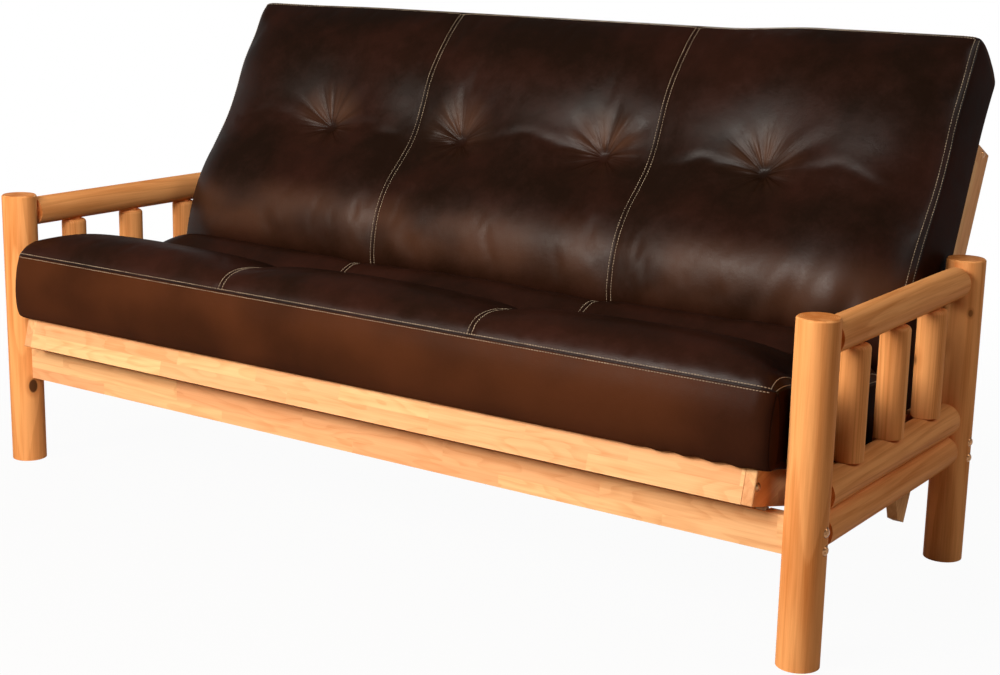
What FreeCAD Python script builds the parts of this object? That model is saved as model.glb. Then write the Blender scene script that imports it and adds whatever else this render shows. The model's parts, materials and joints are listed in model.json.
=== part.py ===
import FreeCAD, Part
import math
import os
from FreeCAD import Placement, Rotation, Vector

# Log futon: four peeled log posts, log arms with spindles, two flat stretchers, and a
# folding slatted deck that carries a full-size mattress.  Millimetres and degrees.
# X runs along the sofa, +Y to the back, +Z up; the origin is on the floor.

SIZES = {
    # posts
    "post_diameter": 78.0,
    "post_height": 626.0,
    "post_edge": 3.0,
    "deck_to_post": 34.0,
    "arm_extra_depth": 32.0,
    "post_centre_y": -77.0,
    # arm logs and their round tenons
    "arm_rail_diameter": 64.0,
    "arm_rail_height": 583.0,
    "side_log_diameter": 66.0,
    "middle_log_height": 304.0,
    "log_gap": 0.2,
    "log_end_round": 15.0,
    "tenon_diameter": 40.0,
    "tenon_length": 29.0,
    "tenon_clearance": 0.1,
    # spindles
    "spindle_diameter": 57.0,
    "spindle_spacing": 183.0,
    "spindle_end_round": 9.0,
    "spindle_tenon_diameter": 28.0,
    "spindle_tenon_length": 22.0,
    # stretchers and their bolts
    "stretcher_height": 70.0,
    "stretcher_thickness": 26.0,
    "stretcher_bottom": 201.0,
    "stretcher_housing": 14.0,
    "joint_gap": 0.1,
    "bolt_pitch": 33.0,
    "bolt_diameter": 8.0,
    "bolt_head_diameter": 20.0,
    "bolt_head_height": 6.0,
    "bolt_seat_depth": 1.5,
    "bolt_clearance": 0.1,
    "bolt_end": 9.0,
    "hole_spare": 1.0,
    "barrel_diameter": 10.0,
    "barrel_length": 18.0,
    "barrel_setback": 18.0,
    # front rollers that carry the seat rails
    "roller_diameter": 19.0,
    "roller_width": 18.0,
    "roller_rise": 4.7,
    "roller_gap": 0.3,
    "roller_pocket_gap": 0.8,
    "axle_diameter": 5.0,
    "axle_end_length": 12.0,
    "running_clearance": 0.1,
    # stop plates on the rear stretcher
    "stop_thickness": 4.5,
    "stop_overhang": 7.2,
    "stop_width": 36.0,
    "stop_clearance": 0.5,
    # folding deck
    "deck_width": 1844.0,
    "deck_board": 22.0,
    "deck_rail_height": 70.0,
    "deck_side_gap": 2.0,
    "seat_depth": 657.0,
    "seat_tilt_angle": 14.0,
    "back_length": 717.0,
    "back_tail": 68.0,
    "back_lean_angle": 24.5,
    "back_end_cut": 34.0,
    "bed_hinge_y": -20.0,
    "seat_rear_setback": 38.0,
    "back_lower_setback": 41.0,
    "bore_gap": 0.05,
    "rail_ease": 1.5,
    "rail_tenon_width": 12.0,
    "rail_tenon_height": 50.0,
    "rail_tenon_length": 10.0,
    "slat_width": 60.0,
    "slat_thickness": 18.0,
    "slat_margin": 97.0,
    "slat_housing": 10.0,
    "slat_gap": 0.1,
    "corner_bolt_head": 16.0,
    "corner_bolt_head_height": 4.5,
    "corner_bolt_length": 70.0,
    # pivot and track hardware
    "pivot_diameter": 10.0,
    "pivot_head_diameter": 20.0,
    "pivot_head_height": 6.0,
    "pivot_nut_diameter": 18.0,
    "pivot_nut_thickness": 7.0,
    "pivot_nut_sink": 1.0,
    "pivot_washer_diameter": 26.0,
    "pin_distance": 90.0,
    "sleeve_diameter": 18.0,
    "slot_clearance": 0.4,
    "track_gap": 5.5,
    "track_thickness": 12.5,
    "track_border": 15.0,
    "track_screw_diameter": 5.0,
    "track_screw_head": 10.0,
    "track_screw_length": 30.0,
    # mattress
    "mattress_overhang": 26.0,
    "mattress_gap": 0.2,
    "crease_gap": 0.6,
    "crease_depth": 340.0,
    "seam_spacing": 635.0,
    "seam_pinch": 6.0,
    "tuft_spacing": 386.0,
    "tuft_reach": 85.0,
    "seat_tuft_pinch": 14.0,
    "back_tuft_pinch": 24.0,
    "seat_overhang": 33.0,
    "seat_edge_height": 134.0,
    "seat_front_drop": 46.0,
    "seat_front_lean": 9.0,
    "seat_front_turn": 20.0,
    "seat_front_bulge": 4.0,
    "seat_bulge_rise": 8.0,
    "seat_crown": 194.0,
    "seat_dip": 186.0,
    "crease_swell": 9.0,
    "back_overhang": 156.0,
    "back_heel_inset": 8.0,
    "back_heel_drop": 12.0,
    "back_edge_height": 144.0,
    "back_edge_lead": 18.0,
    "back_end_bulge": 4.0,
    "back_end_sag": 6.0,
    "back_top_lead": 14.0,
    "back_top_swell": 20.0,
    "back_tuft_height": 193.0,
    "back_belly": 251.0,
    "back_belly_shift": 8.0,
    "end_reach": 150.0,
    "end_inset": 6.0,
    "end_edge_drop": 9.0,
    "seat_end_draw": 44.0,
    "back_end_draw": 72.0,
    "crease_end_draw": 74.0,
}

SLATS = 12
SPINDLES = (-1, 0, 1)
SIDES = ((-1, "left"), (1, "right"))
ENDS = ((-1, "front"), (1, "rear"))
X_AXIS = Vector(1, 0, 0)
Y_AXIS = Vector(0, 1, 0)
Z_AXIS = Vector(0, 0, 1)

doc = FreeCAD.newDocument("log_futon")
sheet = doc.addObject("Spreadsheet::Sheet", "Sizes")
for row, (size_name, size_value) in enumerate(SIZES.items(), 1):
    sheet.set("A%d" % row, size_name)
    sheet.set("B%d" % row, str(size_value))
    sheet.setAlias("B%d" % row, size_name)
doc.recompute()

nodes = {}


def val(name):
    return float(sheet.get(name))


def bind(obj, prop, text):
    obj.setExpression(prop, text)


def sized(text):
    return text.replace("$", "Sizes.")


def rod(radius, height, base, axis):
    """A cylinder that starts at base and runs along axis."""
    obj = doc.addObject("Part::Cylinder", "Rod")
    bind(obj, "Radius", sized(radius))
    bind(obj, "Height", sized(height))
    obj.Placement = Placement(Vector(*base), Rotation(Z_AXIS, Vector(*axis)))
    return obj


def block(length, width, height, corner):
    """A box with its lowest corner at corner."""
    obj = doc.addObject("Part::Box", "Block")
    bind(obj, "Length", sized(length))
    bind(obj, "Width", sized(width))
    bind(obj, "Height", sized(height))
    obj.Placement.Base = Vector(*corner)
    return obj


def fuse(pieces):
    obj = doc.addObject("Part::MultiFuse", "Union")
    obj.Shapes = pieces
    return obj


def cut(base, tools):
    obj = doc.addObject("Part::Cut", "Cut")
    obj.Base = base
    obj.Tool = tools[0] if len(tools) == 1 else fuse(tools)
    return obj


def rounded(base, radius, edges):
    obj = doc.addObject("Part::Fillet", "Rounded")
    obj.Base = base
    obj.Edges = [(edge, radius, radius) for edge in edges]
    return obj


def eased(base, size, edges):
    obj = doc.addObject("Part::Chamfer", "Eased")
    obj.Base = base
    obj.Edges = [(edge, size, size) for edge in edges]
    return obj


def grouped(pieces):
    obj = doc.addObject("Part::Compound", "Group")
    obj.Links = pieces
    return obj


def finish(obj, label, place=None):
    obj.Label = label
    if place is not None:
        obj.Placement = place.multiply(obj.Placement)
    nodes[label] = obj
    return obj


def dome_bolt(head, head_height, shank, length, seat, out):
    """A domed head that sits at seat and faces out, with its shank running inwards."""
    out = Vector(*out)
    ball = "(%s^2 / 4 + %s^2) / (2 * %s)" % (head, head_height, head_height)
    cap = doc.addObject("Part::Sphere", "Dome")
    bind(cap, "Radius", sized(ball))
    bind(cap, "Angle1", sized("asin(1 - %s / (%s))" % (head_height, ball)))
    head_mm = val(head[1:])
    rise_mm = val(head_height[1:])
    drop = (head_mm ** 2 / 4 + rise_mm ** 2) / (2 * rise_mm) - rise_mm
    seat = Vector(*seat)
    cap.Placement = Placement(seat - out * drop, Rotation(Z_AXIS, out))
    stem = rod("%s / 2" % shank, length, tuple(seat), tuple(out * -1))
    return fuse([cap, stem])


# Places that several pieces share
post_r = val("post_diameter") / 2
seat_x = val("deck_width") / 2
post_x = seat_x + val("deck_to_post") + post_r
mid_y = val("post_centre_y")
half_y = (val("seat_depth") + val("arm_extra_depth")) / 2
inner_x = post_x - post_r
outer_x = post_x + post_r
log_reach = half_y - post_r - val("joint_gap")
side_log_r = val("side_log_diameter") / 2
arm_r = val("arm_rail_diameter") / 2
middle_z = val("middle_log_height")
lower_z = middle_z - val("side_log_diameter") - val("log_gap")
arm_z = val("arm_rail_height")
stretcher_top = val("stretcher_bottom") + val("stretcher_height")
stretcher_mid = val("stretcher_bottom") + val("stretcher_height") / 2
stretcher_half = val("stretcher_thickness") / 2
stretcher_end = inner_x + val("stretcher_housing")
bolt_heights = [stretcher_mid + k * val("bolt_pitch") / 2 for k in (-1, 1)]
barrel_x = inner_x - val("barrel_setback")
bolt_seat_x = outer_x - val("bolt_seat_depth")
bolt_tip_x = barrel_x - val("bolt_end")
front_y = mid_y - half_y
rear_y = mid_y + half_y
gap = val("joint_gap")

half_rail = val("deck_rail_height") / 2
board = val("deck_board")
back_in_x = seat_x + val("deck_side_gap")
back_out_x = back_in_x + board
roller_r = val("roller_diameter") / 2
roller_z = stretcher_top + val("roller_rise") - roller_r
tilt = math.radians(val("seat_tilt_angle"))
lean = math.radians(val("back_lean_angle"))
fold = math.pi / 2 - lean
ride = roller_r + val("roller_gap") + half_rail

# Hinge line in the sofa pose: the seat rails lie on the front rollers and the back rails
# lean on the front edge of the rear stop plates.
stop_edge_y = rear_y - stretcher_half - val("stop_overhang")
stop_edge_z = stretcher_top + val("stop_thickness")
back_line = (math.cos(lean) * stop_edge_y - math.sin(lean) * stop_edge_z
             - val("stop_clearance") - half_rail)
seat_line = math.sin(tilt) * front_y + math.cos(tilt) * roller_z + ride
turn = math.cos(lean) * math.cos(tilt) + math.sin(lean) * math.sin(tilt)
hinge_y = (back_line * math.cos(tilt) + seat_line * math.sin(lean)) / turn
hinge_z = (seat_line * math.cos(lean) - back_line * math.sin(tilt)) / turn
seat_place = Placement(Vector(0, hinge_y, hinge_z), Rotation(X_AXIS, -val("seat_tilt_angle")))
back_place = Placement(Vector(0, hinge_y, hinge_z), Rotation(X_AXIS, 90 - val("back_lean_angle")))
sofa_reach = math.cos(tilt) * (hinge_y - front_y) - math.sin(tilt) * (hinge_z - roller_z)
bed_reach = mid_y + val("bed_hinge_y") - front_y


def pin_path(share):
    """Where the track pin is when the deck is this share of the way from sofa to bed."""
    angle = tilt * (1 - share)
    reach = sofa_reach + (bed_reach - sofa_reach) * share
    y = front_y + ride * math.sin(angle) + reach * math.cos(angle)
    z = roller_z + ride * math.cos(angle) - reach * math.sin(angle)
    back = fold * (1 - share)
    arm = val("pin_distance")
    return Vector(0, y + arm * math.cos(back), z + arm * math.sin(back))


def make_post(side, end, label):
    x = side * post_x
    y = mid_y + end * half_y
    stem = rod("$post_diameter / 2", "$post_height - $post_edge", (x, y, 0), (0, 0, 1))
    crown = doc.addObject("Part::Cone", "Crown")
    bind(crown, "Radius1", sized("$post_diameter / 2"))
    bind(crown, "Radius2", sized("$post_diameter / 2 - $post_edge"))
    bind(crown, "Height", sized("$post_edge"))
    crown.Placement.Base = Vector(x, y, val("post_height") - val("post_edge"))
    tools = []
    mortise = val("tenon_length") + val("tenon_clearance")
    for z in (arm_z, middle_z, lower_z):
        start = y - end * (post_r - mortise)
        tools.append(rod("$tenon_diameter / 2 + $tenon_clearance",
                         "$tenon_length + $tenon_clearance + $post_edge",
                         (x, start, z), (0, -end, 0)))
    house_x = min(side * stretcher_end, side * (inner_x - val("post_edge")))
    tools.append(block("$stretcher_housing + $post_edge", "$stretcher_thickness + 2 * $joint_gap",
                       "$stretcher_height + 2 * $joint_gap",
                       (house_x, y - stretcher_half - gap, val("stretcher_bottom") - gap)))
    for z in bolt_heights:
        tools.append(rod("$bolt_diameter / 2 + $bolt_clearance", "$post_diameter",
                         (side * (outer_x + val("hole_spare")), y, z), (-side, 0, 0)))
        tools.append(rod("$bolt_head_diameter / 2 + $bolt_clearance", "$post_diameter / 2",
                         (side * bolt_seat_x, y, z), (side, 0, 0)))
    finish(cut(fuse([stem, crown]), tools), label)


def make_log(side, diameter, z, label, tools):
    """An arm log along Y with softened ends and a round tenon at each end."""
    x = side * post_x
    body = rod(diameter + " / 2", "$seat_depth + $arm_extra_depth - $post_diameter - 2 * $joint_gap",
               (x, mid_y - log_reach, z), (0, 1, 0))
    body = rounded(body, val("log_end_round"), (1, 3))
    tenon_start = mid_y - log_reach - val("tenon_length") + gap
    tenon = rod("$tenon_diameter / 2",
                "$seat_depth + $arm_extra_depth - $post_diameter - 4 * $joint_gap"
                " + 2 * $tenon_length",
                (x, tenon_start, z), (0, 1, 0))
    whole = fuse([body, tenon])
    finish(cut(whole, tools) if tools else whole, label)


def spindle_mortises(side, z, direction, edge_r):
    depth = val("spindle_tenon_length") + val("tenon_clearance")
    return [rod("$spindle_tenon_diameter / 2 + $tenon_clearance",
                "$spindle_tenon_length + $tenon_clearance + $log_end_round",
                (side * post_x, mid_y + k * val("spindle_spacing"),
                 z + direction * (edge_r - depth)), (0, 0, direction))
            for k in SPINDLES]


def make_spindle(side, k, label):
    low = middle_z + side_log_r + gap
    y = mid_y + k * val("spindle_spacing")
    span = ("($arm_rail_height - $middle_log_height - $arm_rail_diameter / 2"
            " - $side_log_diameter / 2 - 2 * $joint_gap)")
    body = rod("$spindle_diameter / 2", span, (side * post_x, y, low), (0, 0, 1))
    body = rounded(body, val("spindle_end_round"), (1, 3))
    tenon = rod("$spindle_tenon_diameter / 2", span + " + 2 * $spindle_tenon_length",
                (side * post_x, y, low - val("spindle_tenon_length")), (0, 0, 1))
    finish(fuse([body, tenon]), label)


def make_stretcher(end, label):
    y = mid_y + end * half_y
    beam = block("$deck_width + 2 * $deck_to_post + 2 * $stretcher_housing - 2 * $joint_gap",
                 "$stretcher_thickness", "$stretcher_height",
                 (-stretcher_end + gap, y - stretcher_half, val("stretcher_bottom")))
    tools = []
    inward = -end
    for side, _ in SIDES:
        for z in bolt_heights:
            tools.append(rod("$bolt_diameter / 2 + $bolt_clearance",
                             "$stretcher_housing + $barrel_setback + $bolt_end + $hole_spare",
                             (side * (bolt_tip_x - val("hole_spare")), y, z), (side, 0, 0)))
            start = y + inward * (stretcher_half - val("barrel_length"))
            tools.append(rod("$barrel_diameter / 2 + $bolt_clearance",
                             "$barrel_length + $stretcher_thickness",
                             (side * barrel_x, start, z), (0, inward, 0)))
        if end < 0:
            tools.extend(roller_pocket(side, y))
    finish(cut(beam, tools), label)


def roller_mid(side):
    return side * (seat_x - board / 2)


def roller_pocket(side, y):
    """A pocket open to the top and the back of the stretcher, with the axle's bore."""
    slack = val("roller_pocket_gap")
    pocket = block("$roller_width + 2 * $roller_pocket_gap",
                   "$roller_diameter + 2 * $roller_pocket_gap + $stretcher_thickness",
                   "$roller_diameter + $roller_pocket_gap",
                   (roller_mid(side) - val("roller_width") / 2 - slack,
                    y - roller_r - slack, roller_z - roller_r - slack))
    start = roller_mid(side) - side * (val("roller_width") / 2 + val("axle_end_length"))
    bore = rod("$axle_diameter / 2 + $bore_gap", "$post_diameter * 2",
               (start, y, roller_z), (side, 0, 0))
    return [pocket, bore]


def make_roller(side, label):
    start = roller_mid(side) - val("roller_width") / 2
    wheel = rod("$roller_diameter / 2", "$roller_width", (start, front_y, roller_z), (1, 0, 0))
    bore = rod("$axle_diameter / 2 + $running_clearance", "$roller_width + 2 * $hole_spare",
               (start - val("hole_spare"), front_y, roller_z), (1, 0, 0))
    finish(cut(wheel, [bore]), label)


def make_frame():
    for side, side_name in SIDES:
        for end, end_name in ENDS:
            make_post(side, end, "post_%s_%s" % (end_name, side_name))
        make_log(side, "$arm_rail_diameter", arm_z, "arm_top_log_" + side_name,
                 spindle_mortises(side, arm_z, -1, arm_r))
        make_log(side, "$side_log_diameter", middle_z, "arm_middle_log_" + side_name,
                 spindle_mortises(side, middle_z, 1, side_log_r) + track_tools(side, middle_z))
        make_log(side, "$side_log_diameter", lower_z, "arm_lower_log_" + side_name,
                 track_tools(side, lower_z))
        for k, place in zip(SPINDLES, ("front", "centre", "rear")):
            make_spindle(side, k, "arm_spindle_%s_%s" % (place, side_name))
        make_roller(side, "seat_roller_" + side_name)
        make_track(side, "deck_track_" + side_name)
    for end, end_name in ENDS:
        make_stretcher(end, "stretcher_" + end_name)
    bolts = []
    barrels = []
    for side, _ in SIDES:
        for end, _ in ENDS:
            y = mid_y + end * half_y
            for z in bolt_heights:
                length = ("$post_diameter - $bolt_seat_depth + $barrel_setback + $bolt_end")
                bolts.append(dome_bolt("$bolt_head_diameter", "$bolt_head_height",
                                       "$bolt_diameter", length,
                                       (side * bolt_seat_x, y, z), (side, 0, 0)))
                nut_y = y - end * (stretcher_half - val("barrel_length"))
                nut = rod("$barrel_diameter / 2", "$barrel_length",
                          (side * barrel_x, nut_y, z), (0, -end, 0))
                thread = rod("$bolt_diameter / 2 + $bore_gap", "$barrel_diameter * 2",
                             (side * barrel_x - val("barrel_diameter"), y, z), (1, 0, 0))
                barrels.append(cut(nut, [thread]))
    finish(grouped(bolts), "stretcher_bolts")
    finish(grouped(barrels), "stretcher_barrel_nuts")
    axles = []
    stops = []
    for side, _ in SIDES:
        start = roller_mid(side) - side * (val("roller_width") / 2 + val("axle_end_length"))
        axles.append(rod("$axle_diameter / 2", "$roller_width + 2 * $axle_end_length",
                         (start, front_y, roller_z), (side, 0, 0)))
        x = side * (back_in_x + board / 2) - val("stop_width") / 2
        stops.append(block("$stop_width", "$stretcher_thickness + $stop_overhang",
                           "$stop_thickness", (x, stop_edge_y, stretcher_top)))
    finish(grouped(axles), "seat_roller_axles")
    finish(grouped(stops), "back_stop_plates")


# Deck tracks: a board let into the inner sides of the two side logs, with a curved slot
track_in_x = back_out_x + val("track_gap")
track_out_x = track_in_x + val("track_thickness")


def track_box():
    first = pin_path(1.0)
    last = pin_path(0.0)
    edge = val("sleeve_diameter") / 2 + val("slot_clearance") + val("track_border")
    low_y = first.y - edge - val("track_border")
    high_y = min(last.y + edge, rear_y - post_r - gap)
    low_z = lower_z - side_log_r / 2
    high_z = middle_z + side_log_r - gap
    return low_y, high_y, low_z, high_z


def track_screw_points():
    low_y, high_y, _, _ = track_box()
    inset = val("track_screw_head")
    return [(low_y + inset, middle_z), (high_y - inset, middle_z),
            (low_y + 3 * inset, lower_z), ((low_y + high_y) / 2, lower_z)]


def track_tools(side, z):
    """The flat on a side log that the track board lies on, and its screw holes."""
    low_y, high_y, _, _ = track_box()
    flat = doc.addObject("Part::Box", "TrackFlat")
    bind(flat, "Length", sized("$track_thickness"))
    flat.Width = high_y - low_y + 2 * gap
    bind(flat, "Height", sized("$side_log_diameter"))
    x = min(side * track_out_x, side * track_in_x)
    flat.Placement.Base = Vector(x, low_y - gap, z - side_log_r)
    holes = [rod("$track_screw_diameter / 2 + $bore_gap", "$track_screw_length + $hole_spare",
                 (side * track_in_x, y, screw_z), (side, 0, 0))
             for y, screw_z in track_screw_points() if screw_z == z]
    return [flat] + holes


def make_track(side, label):
    low_y, high_y, low_z, high_z = track_box()
    plate = Part.makeBox(val("track_thickness"), high_y - low_y, high_z - low_z,
                         Vector(0, low_y, low_z))
    reach = val("sleeve_diameter") / 2 + val("slot_clearance")
    steps = 12
    rims = {1: [], -1: []}
    for k in range(steps + 1):
        here = pin_path(k / steps)
        ahead = pin_path(k / steps + 0.001) - pin_path(k / steps - 0.001)
        ahead.normalize()
        out = Vector(0, -ahead.z, ahead.y)
        for hand in rims:
            rims[hand].append(here + out * (reach * hand))
    start = pin_path(0.0) - pin_path(0.001)
    start.normalize()
    stop = pin_path(1.0) - pin_path(0.999)
    stop.normalize()
    curves = []
    for hand in (1, -1):
        spline = Part.BSplineCurve()
        spline.interpolate(rims[hand])
        curves.append(spline.toShape())
    caps = [Part.Arc(rims[1][0], pin_path(0.0) + start * reach, rims[-1][0]).toShape(),
            Part.Arc(rims[1][-1], pin_path(1.0) + stop * reach, rims[-1][-1]).toShape()]
    rim = Part.Wire(Part.__sortEdges__(curves + caps))
    slot = Part.Face(rim).extrude(Vector(val("track_thickness") * 3, 0, 0))
    slot.translate(Vector(-val("track_thickness"), 0, 0))
    plate = plate.cut(slot)
    inner = 0.0 if side > 0 else val("track_thickness")
    for y, z in track_screw_points():
        hole = Part.makeCylinder(val("track_screw_diameter") / 2 + val("bore_gap"),
                                 val("track_thickness") * 3,
                                 Vector(-val("track_thickness"), y, z), X_AXIS)
        sink = Part.makeCone(val("track_screw_head") / 2, 0.0, val("track_screw_head") / 2,
                             Vector(inner, y, z), X_AXIS * side)
        plate = plate.cut(hole.fuse(sink))
    obj = doc.addObject("Part::Feature", "Track")
    obj.Shape = plate
    obj.Placement.Base = Vector(track_in_x if side > 0 else -track_out_x, 0, 0)
    finish(obj, label)


def make_track_screws():
    screws = []
    for side, _ in SIDES:
        for y, z in track_screw_points():
            seat = (side * track_in_x, y, z)
            shank = rod("$track_screw_diameter / 2", "$track_screw_length", seat, (side, 0, 0))
            head = doc.addObject("Part::Cone", "ScrewHead")
            bind(head, "Radius1", sized("$track_screw_head / 2 - $bore_gap"))
            head.Radius2 = 0
            bind(head, "Height", sized("$track_screw_head / 2 - $bore_gap"))
            head.Placement = Placement(Vector(*seat), Rotation(Z_AXIS, Vector(side, 0, 0)))
            screws.append(fuse([shank, head]))
    finish(grouped(screws), "deck_track_screws")


def slat_xs():
    pitch = (val("deck_width") - 2 * val("slat_margin")) / (SLATS - 1)
    return [(k - (SLATS - 1) / 2) * pitch for k in range(SLATS)]


def slat_cuts(face_y, inward):
    """Housings in the top inner edge of a long rail, one for each slat end."""
    corner_y = min(face_y, face_y - inward * val("slat_housing"))
    return [block("$slat_width + 2 * $slat_gap", "$slat_housing", "$slat_thickness + $slat_gap",
                  (x - val("slat_width") / 2 - val("slat_gap"), corner_y,
                   half_rail - val("slat_thickness") - val("slat_gap")))
            for x in slat_xs()]


def make_slats(low_y, high_y, length, label, place):
    start = low_y - val("slat_housing") + val("slat_gap")
    slats = [block("$slat_width", length + " + 2 * $slat_housing - 2 * $slat_gap",
                   "$slat_thickness",
                   (x - val("slat_width") / 2, start, half_rail - val("slat_thickness")))
             for x in slat_xs()]
    finish(grouped(slats), label, place)


def tenoned_rail(span, half_span, low_y, label, tools, place):
    """A long rail between two side rails, with a stub tenon at each end."""
    beam = block(span, "$deck_board", "$deck_rail_height", (-half_span, low_y, -half_rail))
    reach = val("rail_tenon_length") - gap
    tongue = block(span + " + 2 * $rail_tenon_length - 2 * $joint_gap", "$rail_tenon_width",
                   "$rail_tenon_height",
                   (-half_span - reach, low_y + (board - val("rail_tenon_width")) / 2,
                    -val("rail_tenon_height") / 2))
    finish(cut(fuse([beam, tongue]), tools), label, place)


def rail_mortise(side, face_x, low_y):
    """The mortise for one stub tenon, cut outwards from a side rail's inner face."""
    x = face_x if side > 0 else face_x - val("rail_tenon_length")
    return block("$rail_tenon_length", "$rail_tenon_width + 2 * $joint_gap",
                 "$rail_tenon_height + 2 * $joint_gap",
                 (x, low_y + (board - val("rail_tenon_width")) / 2 - gap,
                  -val("rail_tenon_height") / 2 - gap))


seat_inner_x = seat_x - board
seat_front_y = -val("seat_depth")
seat_rear_y = -val("seat_rear_setback") - board
corner_y = seat_front_y + board / 2
back_lower_y = val("back_lower_setback")
back_upper_y = val("back_length") - board


def make_seat_deck():
    span = "($deck_width - 2 * $deck_board)"
    tools = slat_cuts(seat_front_y + board, 1)
    for side, _ in SIDES:
        tools.append(rod("$bolt_diameter / 2 + $bolt_clearance", "$corner_bolt_length + $hole_spare",
                         (side * seat_x, corner_y, 0), (-side, 0, 0)))
    tenoned_rail(span, seat_inner_x, seat_front_y, "seat_front_rail", tools, seat_place)
    tenoned_rail(span, seat_inner_x, seat_rear_y, "seat_rear_rail",
                 slat_cuts(seat_rear_y, -1), seat_place)
    make_slats(seat_front_y + board, seat_rear_y,
               "$seat_depth - $seat_rear_setback - 2 * $deck_board", "seat_slats", seat_place)
    bolts = []
    for side, side_name in SIDES:
        low_x = seat_inner_x if side > 0 else -seat_x
        bar = block("$deck_board", "$seat_depth", "$deck_rail_height",
                    (low_x, seat_front_y, -half_rail))
        bar = eased(bar, val("rail_ease"), (1, 5, 9, 10))
        heel = rod("$deck_rail_height / 2", "$deck_board", (low_x, 0, 0), (1, 0, 0))
        tools = [rail_mortise(side, side * seat_inner_x, seat_front_y),
                 rail_mortise(side, side * seat_inner_x, seat_rear_y)]
        tools.append(rod("$pivot_diameter / 2 + $bore_gap", "$deck_board * 3",
                         (low_x - board, 0, 0), (1, 0, 0)))
        tools.append(rod("$bolt_diameter / 2 + $bolt_clearance", "$deck_board * 3",
                         (low_x - board, corner_y, 0), (1, 0, 0)))
        finish(cut(fuse([bar, heel]), tools), "seat_side_rail_" + side_name, seat_place)
        bolts.append(dome_bolt("$corner_bolt_head", "$corner_bolt_head_height",
                               "$bolt_diameter", "$corner_bolt_length",
                               (side * seat_x, corner_y, 0), (side, 0, 0)))
        make_pivot(side, side_name)
    finish(grouped(bolts), "seat_corner_bolts", seat_place)


def make_pivot(side, side_name):
    """The bolt that both decks fold on, its washer and its sunk nut."""
    head = rod("$pivot_head_diameter / 2", "$pivot_head_height",
               (side * seat_inner_x, 0, 0), (-side, 0, 0))
    nut_x = back_out_x - val("pivot_nut_sink") - val("pivot_nut_thickness")
    shank = rod("$pivot_diameter / 2",
                "2 * $deck_board + $deck_side_gap - $pivot_nut_sink",
                (side * seat_inner_x, 0, 0), (side, 0, 0))
    finish(fuse([head, shank]), "pivot_bolt_" + side_name, seat_place)
    washer = rod("$pivot_washer_diameter / 2", "$deck_side_gap - 2 * $running_clearance",
                 (side * (seat_x + val("running_clearance")), 0, 0), (side, 0, 0))
    eye = rod("$pivot_diameter / 2 + $bore_gap", "$deck_side_gap * 3",
              (side * (seat_x - val("deck_side_gap")), 0, 0), (side, 0, 0))
    finish(cut(washer, [eye]), "pivot_washer_" + side_name, seat_place)
    nut = rod("$pivot_nut_diameter / 2", "$pivot_nut_thickness", (side * nut_x, 0, 0),
              (side, 0, 0))
    thread = rod("$pivot_diameter / 2 + $bore_gap", "$pivot_nut_thickness * 3",
                 (side * (nut_x - val("pivot_nut_thickness")), 0, 0), (side, 0, 0))
    finish(cut(nut, [thread]), "pivot_nut_" + side_name, seat_place)


def tail_cut(x):
    """A wedge that takes the mattress-side corner off a back rail's lower end."""
    wedge = doc.addObject("Part::Wedge", "TailCut")
    wedge.Xmin = 0
    bind(wedge, "Xmax", sized("$back_end_cut"))
    wedge.Ymin = 0
    bind(wedge, "Ymax", sized("$back_end_cut"))
    wedge.Zmin = 0
    bind(wedge, "Zmax", sized("$deck_board * 3"))
    wedge.X2min = 0
    wedge.X2max = 0
    wedge.Z2min = 0
    bind(wedge, "Z2max", sized("$deck_board * 3"))
    turned = FreeCAD.Matrix(0, 0, -1, 0, 1, 0, 0, 0, 0, -1, 0, 0, 0, 0, 0, 1)
    corner = Vector(x + 2 * board, -val("back_tail"), half_rail)
    wedge.Placement = Placement(corner, Rotation(turned))
    return wedge


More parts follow.
